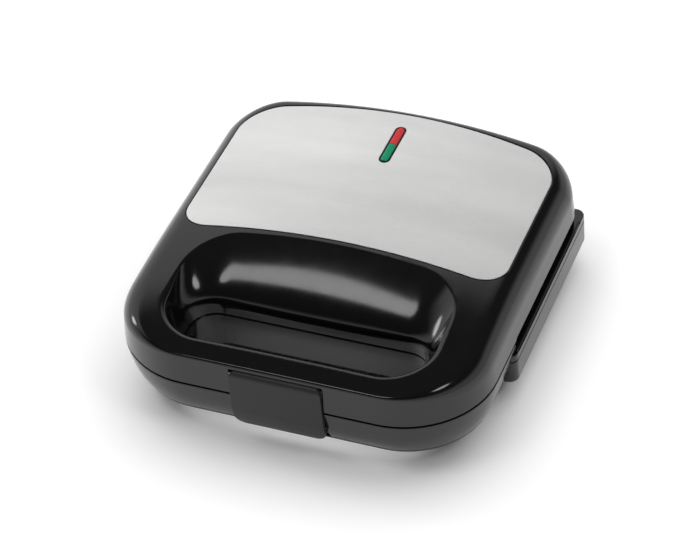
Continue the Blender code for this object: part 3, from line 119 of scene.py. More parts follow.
# The base's wall, its flared opening, and the deeper tub behind the handle
BASE_TAPER = 3.2 * MM
BASE_BELLY = 5.9 * MM
BASE_EDGE = 2.9 * MM
FLARE_TOP_Z = 41 * MM
FLARE_POWER = 1.3
TUB_HALF_WIDTH = 102 * MM
TUB_FRONT_Y = -50 * MM
TUB_REAR_Y = 110 * MM
TUB_CORNER = 28 * MM
TUB_DRAFT = 0.8 * MM
TUB_EDGE = 6.2 * MM
TUB_EDGE_Z = 16 * MM
TUB_TOP_Z = 38 * MM
FLOOR = 3 * MM

# The side rails, and the vent slots above them
RAIL_HALF_WIDTH = 119.6 * MM
RAIL_DEPTH = 13 * MM
RAIL_ROUND = 0.45
RAIL_FRONT_Y = -40 * MM
RAIL_REAR_Y = 102 * MM
RAIL_TOP_Z = 38.3 * MM
RAIL_BOTTOM_Z = 16.7 * MM
RAIL_FOOT = 1.6 * MM
RAIL_GROOVE_Z = 33.3 * MM
RAIL_GROOVE = 1 * MM
SLOT_FRONT_Y = -35.5 * MM
SLOT_REAR_Y = 93.5 * MM
SLOT_TOP_Z = 48.2 * MM
SLOT_DEPTH = 6 * MM

# The hinge: its knuckles, how far their roots reach in knuckle radii, and their arcs round the pin in degrees
HINGE_Y = 120.5 * MM
HINGE_PIN_RADIUS = 1.6 * MM
KNUCKLE_RADIUS = 4.5 * MM
KNUCKLE_INNER_X = 68 * MM
KNUCKLE_WIDTH = 5 * MM
LID_KNUCKLE_WIDTH = 13.2 * MM
LID_KNUCKLE_ROOT = 1.8
LUG_ROOT = 2.6
LUG_FOOT = 0.6
LUG_BOTTOM_Z = 33 * MM
LID_KNUCKLE_TURNS = -170, 95
LUG_TURNS = -50, 187

# The clip's pin, hook and seat, and the base's catch
CLIP_SWING_IN = 0.8 * MM
CLIP_PIN_REACH = 4 * MM
CLIP_PIN_RADIUS = 1.2 * MM
CLIP_NECK = 0.7
CLIP_MERGE = 0.02 * MM
BEND_START = 0.35
BEND_POWER = 1.6
HOOK_DEPTH = 4 * MM
HOOK_TIP = 0.5
SEAT_LAP = 1 * MM
CATCH_Y = -119 * MM
CATCH_BOTTOM_Z = 30 * MM
CATCH_ROOM = 2 * MM
CATCH_PLAY = 0.4 * MM

# The cord gland, the bottom cover's rebate and the feet
GLAND_PLACE = (-40 * MM, 117 * MM, 26.5 * MM)
GLAND_RADIUS = 5 * MM
GLAND_PAD_REACH = 8.5 * MM
GLAND_PAD_DEPTH = 16 * MM
COVER_HALF_X = 74 * MM
COVER_HALF_Y = 43 * MM
COVER_Y = 28 * MM
COVER_THICKNESS = 1.6 * MM
COVER_LAP = 7 * MM
COVER_CORNER = 10 * MM
FOOT_HOLE_RADIUS = 2.95 * MM

# The indicator: how far it stands out, its domed lenses and their ribs
LAMP_STAND = 0.5 * MM
LENS_STAND = 0.9 * MM
LENS_CROWN = 0.7 * MM
LENS_END = 0.05 * MM
RIB_HEIGHT = 0.22 * MM
RIB_FADE = 6

# The camera, as it was fitted to the photo's outlines
CAMERA_TURN = math.radians(24.58)
CAMERA_RISE = math.radians(41.23)
CAMERA_ROLL = math.radians(-5.65)
CAMERA_DISTANCE = 1681 * MM
CAMERA_AIM = (0.0, 23.5 * MM, 38.3 * MM)
CAMERA_LENS = 137.77
CAMERA_SHIFT = (-0.0234, -0.0362)
CAMERA_FAR = 50
PHOTO_WIDTH = 36.0

# The stage: place, width, length and watts of each lamp, and the floor
LAMPS = {
    "overhead strip": ((-0.42, -0.66, 1.64), 0.72, 0.32, 3.2),
    "right lamp": ((1.08, -0.44, 1.4), 0.5, 0.34, 2.8),
    "left lamp": ((-1.67, 0.1, 0.68), 0.26, 0.5, 2.4),
}
FLOOR_SIZE = 24.0
FLOOR_SHOWN = 1.12
FLOOR_ROUGHNESS = 0.9

# The sky's horizon, the wall behind, its limit above and the light for other rays. Each has the view's squeeze,
# a direction, the cosines where the patch starts and ends, and its strengths there
SKY = (
    (None, (0, 0, 1), 0.24, 0.5, 1.0, 0.06),
    ((1, 1, 0), (-0.67, 0.74, 0), 0.42, 0.86, 0.0, 1.2),
    (None, (0, 0, 1), 0.69, 0.81, 1.0, 0.0),
    ((0.7, 1, 1), (-0.02, 0.3, 0.95), 0.5, 0.99, 0.01, 2.2),
)

# Noise patterns of the brushed steel: scale along each axis, and detail
FINE_LINES = (0.012, 1.0, 1.0), 4
BROAD_LINES = (0.05, 0.35, 0.35), 2
STEEL_CLOUD = (0.4, 1.5, 1.0), 4
STEEL_CLOUD_SCALE = 16
BROAD_SHARE = 0.35
GRAIN_DETAIL = 3
NOISE_RANGE = 0.3, 0.7

LENS_PLASTIC = {"Coat Weight": 0.1, "Coat Roughness": 0.1, "Specular IOR Level": 0.25, "IOR": 1.49}
GLASS = {"Transmission Weight": 0.9, "IOR": 1.45}
METAL = {"Metallic": 1.0}

FEET = ("front_left_foot", "front_right_foot", "rear_left_foot", "rear_right_foot")
SCREWS = [f"{group}_screw_{i}" for group in ("upper_plate", "lower_plate", "lid_frame", "base_frame", "cover")
          for i in range(1, 5)]

# The CAD nodes that stay as they are, under the finish that each one gets
CARRIED = {
    "matt_black": ("lid_frame", "base_frame", "bottom_cover", "thermostat"),
    "plain_steel": ("left_hinge_pin", "right_hinge_pin", "latch_pin", "upper_reflector", "lower_reflector",
                    "upper_heating_element", "lower_heating_element", *SCREWS),
    "rubber": (*FEET, "cord_gland"),
    "ceramic": ("terminal_block", "thermal_fuse"),
    "board": ("lamp_board",),
    "lamp_glass": ("front_neon_lamp", "rear_neon_lamp"),
    "non_stick": ("upper_cooking_plate", "lower_cooking_plate"),
}


def distance(name, description, millimetres):
    """A length that the sidebar shows in the scene's units."""
    default = millimetres * MM
    return FloatProperty(name=name, description=description, default=default, unit="LENGTH", precision=5)


def colour(name, description, default):
    return FloatVectorProperty(
        name=name, description=description, default=default, subtype="COLOR", size=3, min=0.0, max=1.0
    )


class HousingSizes(PropertyGroup):
    """The outline and the heights that the lid and the base share."""

    half_width: distance("Half width", "Half the width of both housings", 118.5)
    front_y: distance("Front", "The front wall at the parting plane", -123.2)
    rear_y: distance("Rear", "The rear wall at the parting plane", 119.2)
    front_corner: distance("Front corner", "Plan radius of the front corners", 56)
    rear_corner: distance("Rear corner", "Plan radius of the rear corners", 34)
    rear_bow: distance("Rear bow", "How far the rear wall curves forwards at its ends", 9)
    parting_z: distance("Parting plane", "Height of the joint between lid and base", 46)
    parting_gap: distance("Parting gap", "Gap between the two housings", 1.2)
    wall: distance("Wall", "Thickness of the moulded walls", 2.5)
    crest_z: distance("Crest", "Height of the lid at its middle", 83.3)
    crown_drop: distance("Crown", "How far the lid falls away 100 mm to each side", 6)
    lip_z: distance("Front lip", "Height of the lid's front edge", 68)
    lip_inset: distance("Wall draft", "How far the lid's wall leans in", 1)
    lip_radius: distance("Lip radius", "Edge radius along the front lip", 1.6)
    side_radius: distance("Side radius", "Edge radius along the sides", 15)
    rear_radius: distance("Rear radius", "Edge radius along the rear", 9)
    handle_bottom_z: distance("Handle bottom", "Underside of the handle bar", 17.5)
    bottom_z: distance("Base bottom", "Underside of the base behind the handle", 7)


class OpeningSizes(PropertyGroup):
    """The handle opening through lid and base."""

    front_y: distance("Front", "Front wall of the opening", -107.5)
    front_taper: distance("Front taper", "How far the front wall leans", 1.5)
    top_half_width: distance("Top half width", "Half width where the opening meets the lid's top", 86)
    half_width: distance("Half width", "Half width at the parting plane", 76)
    top_corner: distance("Top corner", "Plan radius of the corners at the top", 29)
    front_corner: distance("Front corner", "Plan radius of the front corners at the bottom", 22)
    rear_corner: distance("Rear corner", "Plan radius of the rear corners at the bottom", 15)
    rear_y: distance("Rear", "Rear wall of the opening at its foot", -60.1)
    rim_y: distance("Rim", "Where the rolled rear wall meets the crest", -19.8)
    roll_foot_z: distance("Roll foot", "Height where the rear wall starts to roll over", 53.3)
    roll_control_z: distance("Roll control", "Height that sets how tight the roll is", 63.3)
    base_rear_y: distance("Base rear", "Rear wall of the opening at the bottom of the base", -53)
    front_blend: distance("Front blend", "Width of the soft edge along the front rim", 5.2)
    side_blend: distance("Side blend", "Width of the soft edge along the side rims", 5.6)


class PlateSizes(PropertyGroup):
    """The steel trim plate, and the indicator in it."""

    half_width: distance("Half width", "Half width of the steel plate", 105.3)
    front_y: distance("Front", "Front edge at the middle", -15.8)
    rear_y: distance("Rear", "Rear edge at the middle", 110.1)
    front_bow: distance("Front bow", "How far the front edge curves forwards at its ends", 6.3)
    rear_bow: distance("Rear bow", "How far the rear edge curves forwards at its ends", 12.5)
    front_corner: distance("Front corner", "Plan radius of the front corners", 19)
    rear_corner: distance("Rear corner", "Plan radius of the rear corners", 24)
    thickness: distance("Thickness", "Thickness of the steel", 0.8)
    gap: distance("Side gap", "Gap between the plate and its recess", 0.9)
    lamp_y: distance("Indicator", "Middle of the indicator", 79.5)
    lamp_length: distance("Indicator length", "Length of the bezel", 36)
    lamp_width: distance("Indicator width", "Width of the bezel", 7)
    lamp_rim: distance("Bezel rim", "Width of the bezel's rim", 0.7)
    lamp_depth: distance("Indicator depth", "Depth of the bezel and the lenses", 7)
    rib_pitch: distance("Rib pitch", "Spacing of the fine ribs across the lenses", 1.3)


class ClipSizes(PropertyGroup):
    """The latch clip on the front."""

    half_width: distance("Half width", "Half width of the clip", 29.3)
    face_y: distance("Face", "Front face of the clip", -125)
    thickness: distance("Thickness", "Thickness of the clip", 3)
    top_z: distance("Top", "Upper edge", 65.3)
    bottom_z: distance("Bottom", "Lower edge", 22.3)
    top_corner: distance("Top corner", "Radius of the upper corners", 5)
    bottom_corner: distance("Bottom corner", "Radius of the lower corners", 7)
    bend_z: distance("Bend", "Height where the clip bends back", 36)
    bend_in: distance("Bend depth", "How far its lower edge goes back", 3)
    barrel: distance("Barrel", "Radius of the barrel along its upper edge", 3.8)


class LookColours(PropertyGroup):
    """The colours of the plastics, the coated plates and the bare metal."""

    shell: colour("Gloss black", "Moulded plastic of the lid and the base", (0.004, 0.004, 0.0045))
    inner: colour("Matt black", "Moulded inner frames", (0.018, 0.018, 0.019))
    clip: colour("Satin grey", "The latch clip", (0.018, 0.018, 0.0185))
    steel: colour("Brushed steel", "The trim plate", (0.78, 0.78, 0.775))
    bare: colour("Plain steel", "Screws, pins and reflectors", (0.52, 0.52, 0.53))
    coating: colour("Non-stick coating", "The cooking plates", (0.022, 0.022, 0.024))
    red: colour("Red lens", "The rear half of the indicator", (0.6, 0.03, 0.035))
    green: colour("Green lens", "The front half of the indicator", (0.0, 0.27, 0.13))
    ceramic: colour("Ceramic", "Terminal block", (0.72, 0.71, 0.67))
    board: colour("Board", "The lamp board", (0.28, 0.18, 0.07))
    glass: colour("Lamp glass", "The neon lamps", (0.85, 0.8, 0.76))
    rubber: colour("Rubber", "The feet and the gland", (0.016, 0.016, 0.016))
    floor: colour("Floor", "The surface that the toaster stands on", (0.86, 0.86, 0.86))


def sizes():
    """The sizes of every group, as the sidebar holds them."""
    scene = bpy.context.scene
    return scene.toaster_housing, scene.toaster_opening, scene.toaster_plate, scene.toaster_clip


def quadratic(start, control, end, share):
    """A point on the soft blend between two edges that meet at the control point."""
    return start * (1 - share) ** 2 + control * (2 * share * (1 - share)) + end * share**2


def arc(centre, radius, start, end, steps=CORNER_STEPS):
    """Points along a circle between two angles in degrees."""
    turns = [math.radians(start + (end - start) * step / steps) for step in range(steps + 1)]
    return [(centre[0] + radius * math.cos(turn), centre[1] + radius * math.sin(turn)) for turn in turns]


def outline(half_width, front, rear, front_corner, rear_corner, bows=(0.0, 0.0), grow=0.0):
    """A rounded four-sided plan, grown all round, with its front and rear edges bowed forwards at the sides."""
    half_width, front, rear = half_width + grow, front - grow, rear + grow
    front_corner, rear_corner = front_corner + grow, rear_corner + grow
    shares = [i / EDGE_STEPS for i in range(EDGE_STEPS + 1)]
    side = rear - rear_corner - front - front_corner
    right = [((half_width - front_corner) * share, front) for share in shares[:-1]]
    right += arc((half_width - front_corner, front + front_corner), front_corner, -90, 0)
    right += [(half_width, front + front_corner + side * share) for share in shares[1:-1]]
    right += arc((half_width - rear_corner, rear - rear_corner), rear_corner, 0, 90)
    right += [((half_width - rear_corner) * (1 - share), rear) for share in shares[1:]]
    bowed = []
    for x, y in right:
        share = (y - front) / (rear - front)
        bow = bows[0] * (1 - share) + bows[1] * share
        bowed.append((x, y - bow * (x / half_width) ** 2))
    return bowed + [(-x, y) for x, y in reversed(bowed[1:-1])]


def offset(points, insets):
    """The outline moved inwards, by one distance or by one for each point."""
    count = len(points)
    if not isinstance(insets, list):
        insets = [insets] * count
    moved = []
    for i, (x, y) in enumerate(points):
        before, after = Vector(points[i - 1]), Vector(points[(i + 1) % count])
        along = (after - before).normalized()
        moved.append((x - along.y * insets[i], y + along.x * insets[i]))
    return moved


def level(points, height):
    return [Vector((x, y, height)) for x, y in points]


def shrunk(points, plan):
    """Copies of an outline that shrink towards the middle of a plan, in even steps."""
    middle = (min(y for _, y in plan) + max(y for _, y in plan)) / 2
    scales = [1 - step / DOME_STEPS for step in range(1, DOME_STEPS)]
    return [[(x * scale, middle + (y - middle) * scale) for x, y in points] for scale in scales]


def shade(made, sharp=SHARP_ANGLE):
    made.data.shade_smooth()
    made.data.set_sharp_from_angle(angle=math.radians(sharp))
    return made


def as_object(name, bm, sharp=SHARP_ANGLE):
    """Writes a bmesh into a new object at the origin, smooth but for its sharp edges."""
    mesh = bpy.data.meshes.new(name)
    bm.to_mesh(mesh)
    bm.free()
    made = bpy.data.objects.new(name, mesh)
    bpy.context.scene.collection.objects.link(made)
    return shade(made, sharp)


def loft(name, rings, to_point=False):
    """An object whose first ring is a circle laid along the first outline, then extruded through the rest."""
    bm = bmesh.new()
    place = bm.verts.layers.int.new("place")
    circle = bmesh.ops.create_circle(bm, cap_ends=True, segments=len(rings[0]), radius=1.0)
    for i, vert in enumerate(circle["verts"]):
        vert[place] = i
        vert.co = rings[0][i]
    edges = list(bm.edges)
    for ring in rings[1:]:
        made = bmesh.ops.extrude_edge_only(bm, edges=edges)["geom"]
        verts = [item for item in made if isinstance(item, bmesh.types.BMVert)]
        edges = [item for item in made if isinstance(item, bmesh.types.BMEdge)]
        for vert in verts:
            vert.co = ring[vert[place]]
    if to_point:
        middle = sum((vert.co for vert in verts), Vector()) / len(verts)
        bmesh.ops.pointmerge(bm, verts=verts, merge_co=middle)
    else:
        bmesh.ops.contextual_create(bm, geom=edges)
    bmesh.ops.recalc_face_normals(bm, faces=bm.faces)
    return as_object(name, bm)


def prism(name, points, stations, axis):
    """A loft of a flat outline, grown by each station's amount and set at its place along an axis."""
    at = "XYZ".index(axis)
    rings = []
    for place, grow in stations:
        rings.append([Vector((*point[:at], place, *point[at:])) for point in offset(points, -grow)])
    return loft(name, rings)


def cylinder(name, radius, low, high, place, axis="X", steps=ROUND_STEPS):
    """A cylinder turned by a spin, between two places along an axis."""
    bm = bmesh.new()
    profile = ((0, low), (radius, low), (radius, high), (0, high))
    verts = [bm.verts.new((across, 0, along)) for across, along in profile]
    edges = [bm.edges.new(pair) for pair in zip(verts, verts[1:])]
    whole = {"cent": (0, 0, 0), "angle": FULL_TURN, "use_merge": True}
    bmesh.ops.spin(bm, geom=verts + edges, axis=(0, 0, 1), steps=steps, **whole)
    bmesh.ops.remove_doubles(bm, verts=bm.verts, dist=WELD)
    bmesh.ops.holes_fill(bm, edges=bm.edges, sides=0)
    degrees, around = {"X": (90, "Y"), "Y": (-90, "X"), "Z": (0, "Z")}[axis]
    turn = Matrix.Rotation(math.radians(degrees), 3, around)
    bmesh.ops.rotate(bm, verts=bm.verts, cent=(0, 0, 0), matrix=turn)
    bmesh.ops.translate(bm, verts=bm.verts, vec=place)
    bmesh.ops.recalc_face_normals(bm, faces=bm.faces)
    return as_object(name, bm)


def block(name, low, high):
    bm = bmesh.new()
    low, high = Vector(low), Vector(high)
    bmesh.ops.create_cube(bm, size=1.0)
    bmesh.ops.scale(bm, vec=high - low, verts=bm.verts)
    bmesh.ops.translate(bm, vec=(low + high) / 2, verts=bm.verts)
    return as_object(name, bm)


def grid_solid(name, columns, rows, surface, far_z, sharp=SHARP_ANGLE):
    """A solid between a surface over a grid's shares from -1 to 1, and its copy at another height."""
    bm = bmesh.new()
    bmesh.ops.create_grid(bm, x_segments=columns, y_segments=rows, size=1.0)
    for vert in bm.verts:
        vert.co = surface(vert.co.x, vert.co.y)
    for item in bmesh.ops.extrude_face_region(bm, geom=bm.faces[:])["geom"]:
        if isinstance(item, bmesh.types.BMVert):
            item.co.z = far_z(item.co.z)
    bmesh.ops.recalc_face_normals(bm, faces=bm.faces)
    return as_object(name, bm, sharp)


def softened(made, width, segments=3, angle=30, merge=0.0):
    """Rounds an object's outer edges that turn by more than the angle, after merging its closest points."""
    bm = bmesh.new()
    bm.from_mesh(made.data)
    if merge:
        bmesh.ops.remove_doubles(bm, verts=bm.verts, dist=merge)
        bmesh.ops.dissolve_limit(bm, angle_limit=math.radians(FLAT_ANGLE), verts=bm.verts, edges=bm.edges)
    limit = math.radians(angle)
    edges = [edge for edge in bm.edges if edge.is_manifold and edge.calc_face_angle_signed() > limit]
    bmesh.ops.bevel(bm, geom=edges, offset=width, segments=segments, profile=0.5, affect="EDGES", material=-1)
    bm.to_mesh(made.data)
    bm.free()
    return made


def cut(target, *cutters, operation="DIFFERENCE"):
    """Cuts solids out of an object, or joins them to it, and applies the result."""
    for cutter in cutters:
        change = target.modifiers.new(operation.lower(), "BOOLEAN")
        change.operation = operation
        change.solver = "EXACT"
        change.object = cutter
    graph = bpy.context.evaluated_depsgraph_get()
    mesh = bpy.data.meshes.new_from_object(target.evaluated_get(graph))
    target.modifiers.clear()
    target.data = mesh
    mesh.name = target.name
    for cutter in cutters:
        bpy.data.objects.remove(cutter)
    return target


def join(target, *others):
    return cut(target, *others, operation="UNION")


def weighted(made, sharp=SHARP_ANGLE):
    """Lets the large faces set the normals, so that thin faces along a cut don't shade."""
    shade(made, sharp)
    finish = made.modifiers.new("large faces first", "WEIGHTED_NORMAL")
    finish.keep_sharp = True
    finish.weight = LARGE_FACES
    return made


def crown(x):
    house = sizes()[0]
    return house.crest_z - house.crown_drop * (x / CROWN_AT) ** 2


def lid_top(x, y):
    """Height of the lid's top: crowned across, and falling to the straight front lip."""
    house, _, plate, _ = sizes()
    lip_y = house.front_y + house.lip_inset
    share = max(0.0, min(1.0, (y - lip_y) / (plate.front_y - lip_y)))
    return house.lip_z + (crown(x) - house.lip_z) * (1 - (1 - share) ** 2)


def shell_plan(inset=0.0):
    """The plan that both housings share, moved inwards."""
    house = sizes()[0]
    corners, bows = (house.front_corner, house.rear_corner), (0.0, house.rear_bow)
    return offset(outline(house.half_width, house.front_y, house.rear_y, *corners, bows), inset)


def shell_ring(inset, height):
    return level(shell_plan(inset), height)


def edge_radii():
    """The lid's edge radius at each point of the plan: crisp in front, soft at the sides."""
    house = sizes()[0]
    right = [house.lip_radius] * EDGE_STEPS
    before = house.lip_radius
    for after, straight in ((house.side_radius, EDGE_STEPS - 1), (house.rear_radius, EDGE_STEPS)):
        shares = [i / CORNER_STEPS for i in range(CORNER_STEPS + 1)]
        right += [before + (after - before) * share**2 * (3 - 2 * share) for share in shares]
        right += [after] * straight
        before = after
    return right + list(reversed(right[1:-1]))


def lid_form(name, inset, drop, bottom):
    """The lid's outer form, or with an inset and a drop the hollow inside it."""
    house = sizes()[0]
    edge = 0.0 if inset else EDGE_SOFT
    radii = [max(radius - inset, house.lip_radius / 2) for radius in edge_radii()]
    rings = [
        shell_ring(inset + edge, bottom),
        shell_ring(inset + edge * EASE, bottom + edge * EASE),
        shell_ring(inset, bottom + max(edge, PARTING_STEP)),
    ]
    for across, up in arc((0, 0), 1, 0, 90, WALL_STEPS):
        insets = [inset + house.lip_inset + radius * (1 - across) for radius in radii]
        rings.append([Vector((x, y, lid_top(x, y) - drop - radius * (1 - up)))
                      for (x, y), radius in zip(shell_plan(insets), radii)])
    edge_ring = [(point.x, point.y) for point in rings[-1]]
    for points in shrunk(edge_ring, edge_ring):
        rings.append([Vector((x, y, lid_top(x, y) - drop)) for x, y in points])
    return loft(name, rings, to_point=True)


def well_ring(height, roll, grow=0.0):
    """The handle opening through the lid at one height, its rear wall rolled back by a share."""
    house, opening, plate, _ = sizes()
    full = house.lip_z + house.side_radius / 2 - house.parting_z
    rise = max(0.0, min(RISE_LIMIT, (height - house.parting_z) / full))
    grown = min(1.0, rise)
    half_width = opening.half_width + (opening.top_half_width - opening.half_width) * rise
    bulge = 4 * WALL_BOW * roll * (1 - min(1.0, roll))
    points = outline(
        half_width,
        opening.front_y + opening.front_taper * (1 - grown),
        opening.rear_y + roll**2 * (opening.rim_y - opening.rear_y),
        opening.front_corner + (opening.top_corner - opening.front_corner) * grown,
        opening.rear_corner + (opening.top_corner - opening.rear_corner) * grown,
        (0.0, ROLL_BOW * plate.front_bow * roll * (half_width / plate.half_width) ** 2 + bulge),
        grow,
    )
    return [Vector((x, y, height - ROLL_CROWN * roll * (crown(0) - crown(x)))) for x, y in points]


def well_levels(grow=0.0):
    """The opening's rings from under the lid, through the foot of its rolled rear wall, to the roll's rim."""
    house, opening, _, _ = sizes()
    rings = [well_ring(house.parting_z - 3 * house.wall, 0.0, grow)]
    for step in range(LEVELS + 1):
        roll = step / LEVELS
        height = quadratic(opening.roll_foot_z, opening.roll_control_z, house.crest_z, roll)
        rings.append(well_ring(height - GROW_DROP * grow, roll, grow))
    return rings


def column_to_rim(column):
    """One column of the opening's wall, up to where it meets the lid's top."""
    kept = [column[0]]
    for before, after in zip(column, column[1:]):
        below, above = (lid_top(point.x, point.y) - point.z for point in (before, after))
        if above <= 0:
            return kept + [before.lerp(after, below / (below - above))]
        kept.append(after)
    return kept


def resample(line, length, steps):
    """A polyline's first stretch of a given length, in equal steps."""
    spots = [line[0]]
    targets = [length * step / steps for step in range(1, steps + 1)]
    walked = 0.0
    for before, after in zip(line, line[1:]):
        run = (after - before).length
        while targets and targets[0] <= walked + run + TINY:
            spots.append(before.lerp(after, (targets[0] - walked) / max(run, TINY)))
            targets.pop(0)
        walked += run
    return spots + [line[-1]] * len(targets)


def outward(ring):
    """The direction away from a ring's inside at each of its points, in plan."""
    count = len(ring)
    along = [ring[(i + 1) % count] - ring[i - 1] for i in range(count)]
    return [Vector((step.y, -step.x, 0.0)).normalized() for step in along]


def rim_blends(rim):
    """How wide the soft edge is along the rim: slim behind, wider in front, a wedge along the sides."""
    opening = sizes()[1]
    blends = []
    for normal, point in zip(outward(rim), rim):
        along = (opening.rim_y - point.y) / (opening.rim_y - opening.front_y)
        side = abs(normal.x) ** 2 * max(0.0, min(1.0, WEDGE_GAIN * along)) ** WEDGE_POWER
        end = RIM_SOFT + (opening.front_blend - RIM_SOFT) * max(0.0, min(1.0, along)) ** 2
        blends.append(end + (opening.side_blend - end) * side)
    return blends


def lid_well():
    """The handle opening through the lid, with a soft edge round its rim."""
    house = sizes()[0]
    columns = [column_to_rim(list(column)) for column in zip(*well_levels())]
    rim = [column[-1] for column in columns]
    blends = rim_blends(rim)
    normals = outward(rim)
    walls = []
    for column, blend in zip(columns, blends):
        length = sum((b - a).length for a, b in zip(column, column[1:]))
        walls.append(resample(column, length - blend * BLEND_DROP, 2 * WALL_STEPS))
    rings = [list(ring) for ring in zip(*walls)]
    foot = rings[-1]
    far = []
    for normal, corner, blend in zip(normals, rim, blends):
        spot = corner + normal * blend
        far.append(Vector((spot.x, spot.y, lid_top(spot.x, spot.y) + RIM_LIFT)))
    for step in range(1, BLEND_STEPS):
        rings.append([quadratic(a, b, c, step / BLEND_STEPS) for a, b, c in zip(foot, rim, far)])
    lead = [spot + normal * RIM_LEAD for spot, normal in zip(far, normals)]
    rings += [far, [spot + Vector((0, 0, RIM_LEAD)) for spot in lead]]
    rings.append([Vector((spot.x, spot.y, house.crest_z + REACH)) for spot in lead])
    return loft("lid well", rings)


def lid_well_walls():
    """The block round the opening that stays solid in the hollow of the lid."""
    house, opening, _, _ = sizes()
    rings = well_levels(house.wall)[:: LEVELS // WELL_LEVELS_KEPT]
    top = crown(0) + REACH
    slope = (opening.rim_y - opening.rear_y) / (crown(0) - opening.roll_control_z)
    last = well_ring(top, 1.0, house.wall)
    rings.append([Vector((point.x, point.y + REACH * slope / 2, top)) for point in last])
    return loft("lid well walls", rings)


def trim_plan(grow=0.0):
    plate = sizes()[2]
    corners, bows = (plate.front_corner, plate.rear_corner), (plate.front_bow, plate.rear_bow)
    return outline(plate.half_width, plate.front_y, plate.rear_y, *corners, bows, grow)


def trim_recess():
    """The crowned recess that the steel plate lies in, with a soft edge along its rim."""
    plate = sizes()[2]
    plan = trim_plan(plate.gap)

    def over_crown(points, depth):
        return [Vector((x, y, crown(x) - depth)) for x, y in points]

    floor, top = plate.thickness + GAP, -REACH
    stations = [(floor, 0.0), (RECESS_SOFT, 0.0), (EASE * RECESS_SOFT, -EASE * RECESS_SOFT)]
    stations += [(-RECESS_SOFT / 2, -RECESS_SOFT), (top, -RECESS_SOFT)]
    rings = [over_crown(offset(plan, inset), depth) for depth, inset in stations]
    under = [over_crown(points, floor) for points in shrunk(offset(plan, 0.0), plan)]
    over = [over_crown(points, top) for points in shrunk(offset(plan, -RECESS_SOFT), plan)]
    return loft("trim recess", under[::-1] + rings + over)


def slot_cutter(side):
    """The vent slot along one side, across the parting plane, with round ends and soft edges."""
    wall = sizes()[0].half_width
    radius = (SLOT_TOP_Z - RAIL_TOP_Z) / 2
    middle = (SLOT_TOP_Z + RAIL_TOP_Z) / 2
    points = arc((SLOT_FRONT_Y + radius, middle), radius, 90, 270)
    points += arc((SLOT_REAR_Y - radius, middle), radius, 270, 450)
    soft = EDGE_SOFT
    stations = [(wall - SLOT_DEPTH, 0.0), (wall - soft, 0.0), (wall - SLOT_EASE * soft, EASE * soft)]
    stations += [(wall + SLOT_END * soft, soft), (wall + REACH, soft)]
    return prism("slot", points, [(side * place, grow) for place, grow in stations], "X")


def lug_starts():
    """Where the two lugs on each side of the base start, from the middle outwards."""
    return KNUCKLE_INNER_X, KNUCKLE_INNER_X + KNUCKLE_WIDTH + LID_KNUCKLE_WIDTH + 2 * RUNNING_GAP


def barrel(low, high, radius, side):
    """A cylinder on the hinge's axis, between two distances from the middle."""
    place = (0, HINGE_Y, sizes()[0].parting_z)
    return cylinder("barrel", radius, *sorted((side * low, side * high)), place)


def knuckle(first, turns, last, start, width, side):
    """A knuckle of the hinge: an arc round the pin, and the points of its root before and after it."""
    points = [*first, *arc((HINGE_Y, sizes()[0].parting_z), KNUCKLE_RADIUS, *turns, ROUND_STEPS), last]
    low, high = sorted((side * start, side * (start + width)))
    soft = KNUCKLE_SOFT
    return prism("knuckle", points, [(low, -soft), (low + soft, 0), (high - soft, 0), (high, -soft)], "X")


def hinge_bores():
    """The bores of both hinge pins, through the knuckles of the lid and of the base."""
    start = KNUCKLE_INNER_X - RUNNING_GAP
    reach = KNUCKLE_INNER_X + 2 * KNUCKLE_WIDTH + LID_KNUCKLE_WIDTH + 3 * RUNNING_GAP
    return [barrel(start, reach, HINGE_PIN_RADIUS + GAP / 2, side) for side in (-1, 1)]


def clip_outline(grow, bottom):
    """The clip's face: a rounded rectangle, or with a bottom the seat that stays open below."""
    clip = sizes()[3]
    corners = clip.bottom_corner + grow, clip.top_corner + grow
    return outline(clip.half_width + grow, bottom, clip.top_z + grow, *corners)


def clip_pin_place():
    clip = sizes()[3]
    return clip.face_y + clip.barrel, clip.top_z - clip.barrel


def clip_seat_depth():
    clip = sizes()[3]
    return clip.face_y + clip.thickness + RUNNING_GAP + CLIP_SWING_IN


def clip_seat_backing():
    """The walls behind the clip: a block round its pin, and a panel down to the parting plane."""
    house, _, _, clip = sizes()
    pin_y, pin_z = clip_pin_place()
    reach = clip.half_width + CLIP_PIN_REACH + house.wall
    half = clip.half_width + RUNNING_GAP + house.wall
    low = (-reach, pin_y - SEAT_LAP, pin_z - clip.barrel - house.wall)
    high = (reach, pin_y + clip.barrel + house.wall, house.lip_z - house.wall / 2)
    panel_low = (-half, pin_y - SEAT_LAP, house.parting_z + house.parting_gap / 2)
    panel_high = (half, clip_seat_depth() + house.wall, pin_z)
    return block("pin block", low, high), block("seat panel", panel_low, panel_high)


def clip_seat():
    """What is cut for the clip: its face's outline in front, and room for its barrel."""
    house, _, _, clip = sizes()
    stations = [(clip.face_y - REACH, SEAT_SOFT), (house.front_y, SEAT_SOFT)]
    stations += [(house.front_y + SEAT_SOFT, 0.0), (clip_seat_depth(), 0.0)]
    face = prism("seat face", clip_outline(RUNNING_GAP, 0.0), stations, "Y")
    half = clip.half_width + RUNNING_GAP
    return face, cylinder("barrel room", clip.barrel + RUNNING_GAP, -half, half, (0, *clip_pin_place()))


def lamp_outline(inset):
    """The indicator's slim plan with round ends, moved inwards."""
    plate = sizes()[2]
    half_width = plate.lamp_width / 2 - inset
    centre = plate.lamp_length / 2 - inset - half_width
    front = arc((0, plate.lamp_y - centre), half_width, 180, 360)
    return front + arc((0, plate.lamp_y + centre), half_width, 0, 180)


def lamp_hole():
    top = crown(0)
    stations = [(top - sizes()[2].lamp_depth - REACH, 0.0), (top + REACH, 0.0)]
    return prism("lamp hole", lamp_outline(-GAP), stations, "Z")


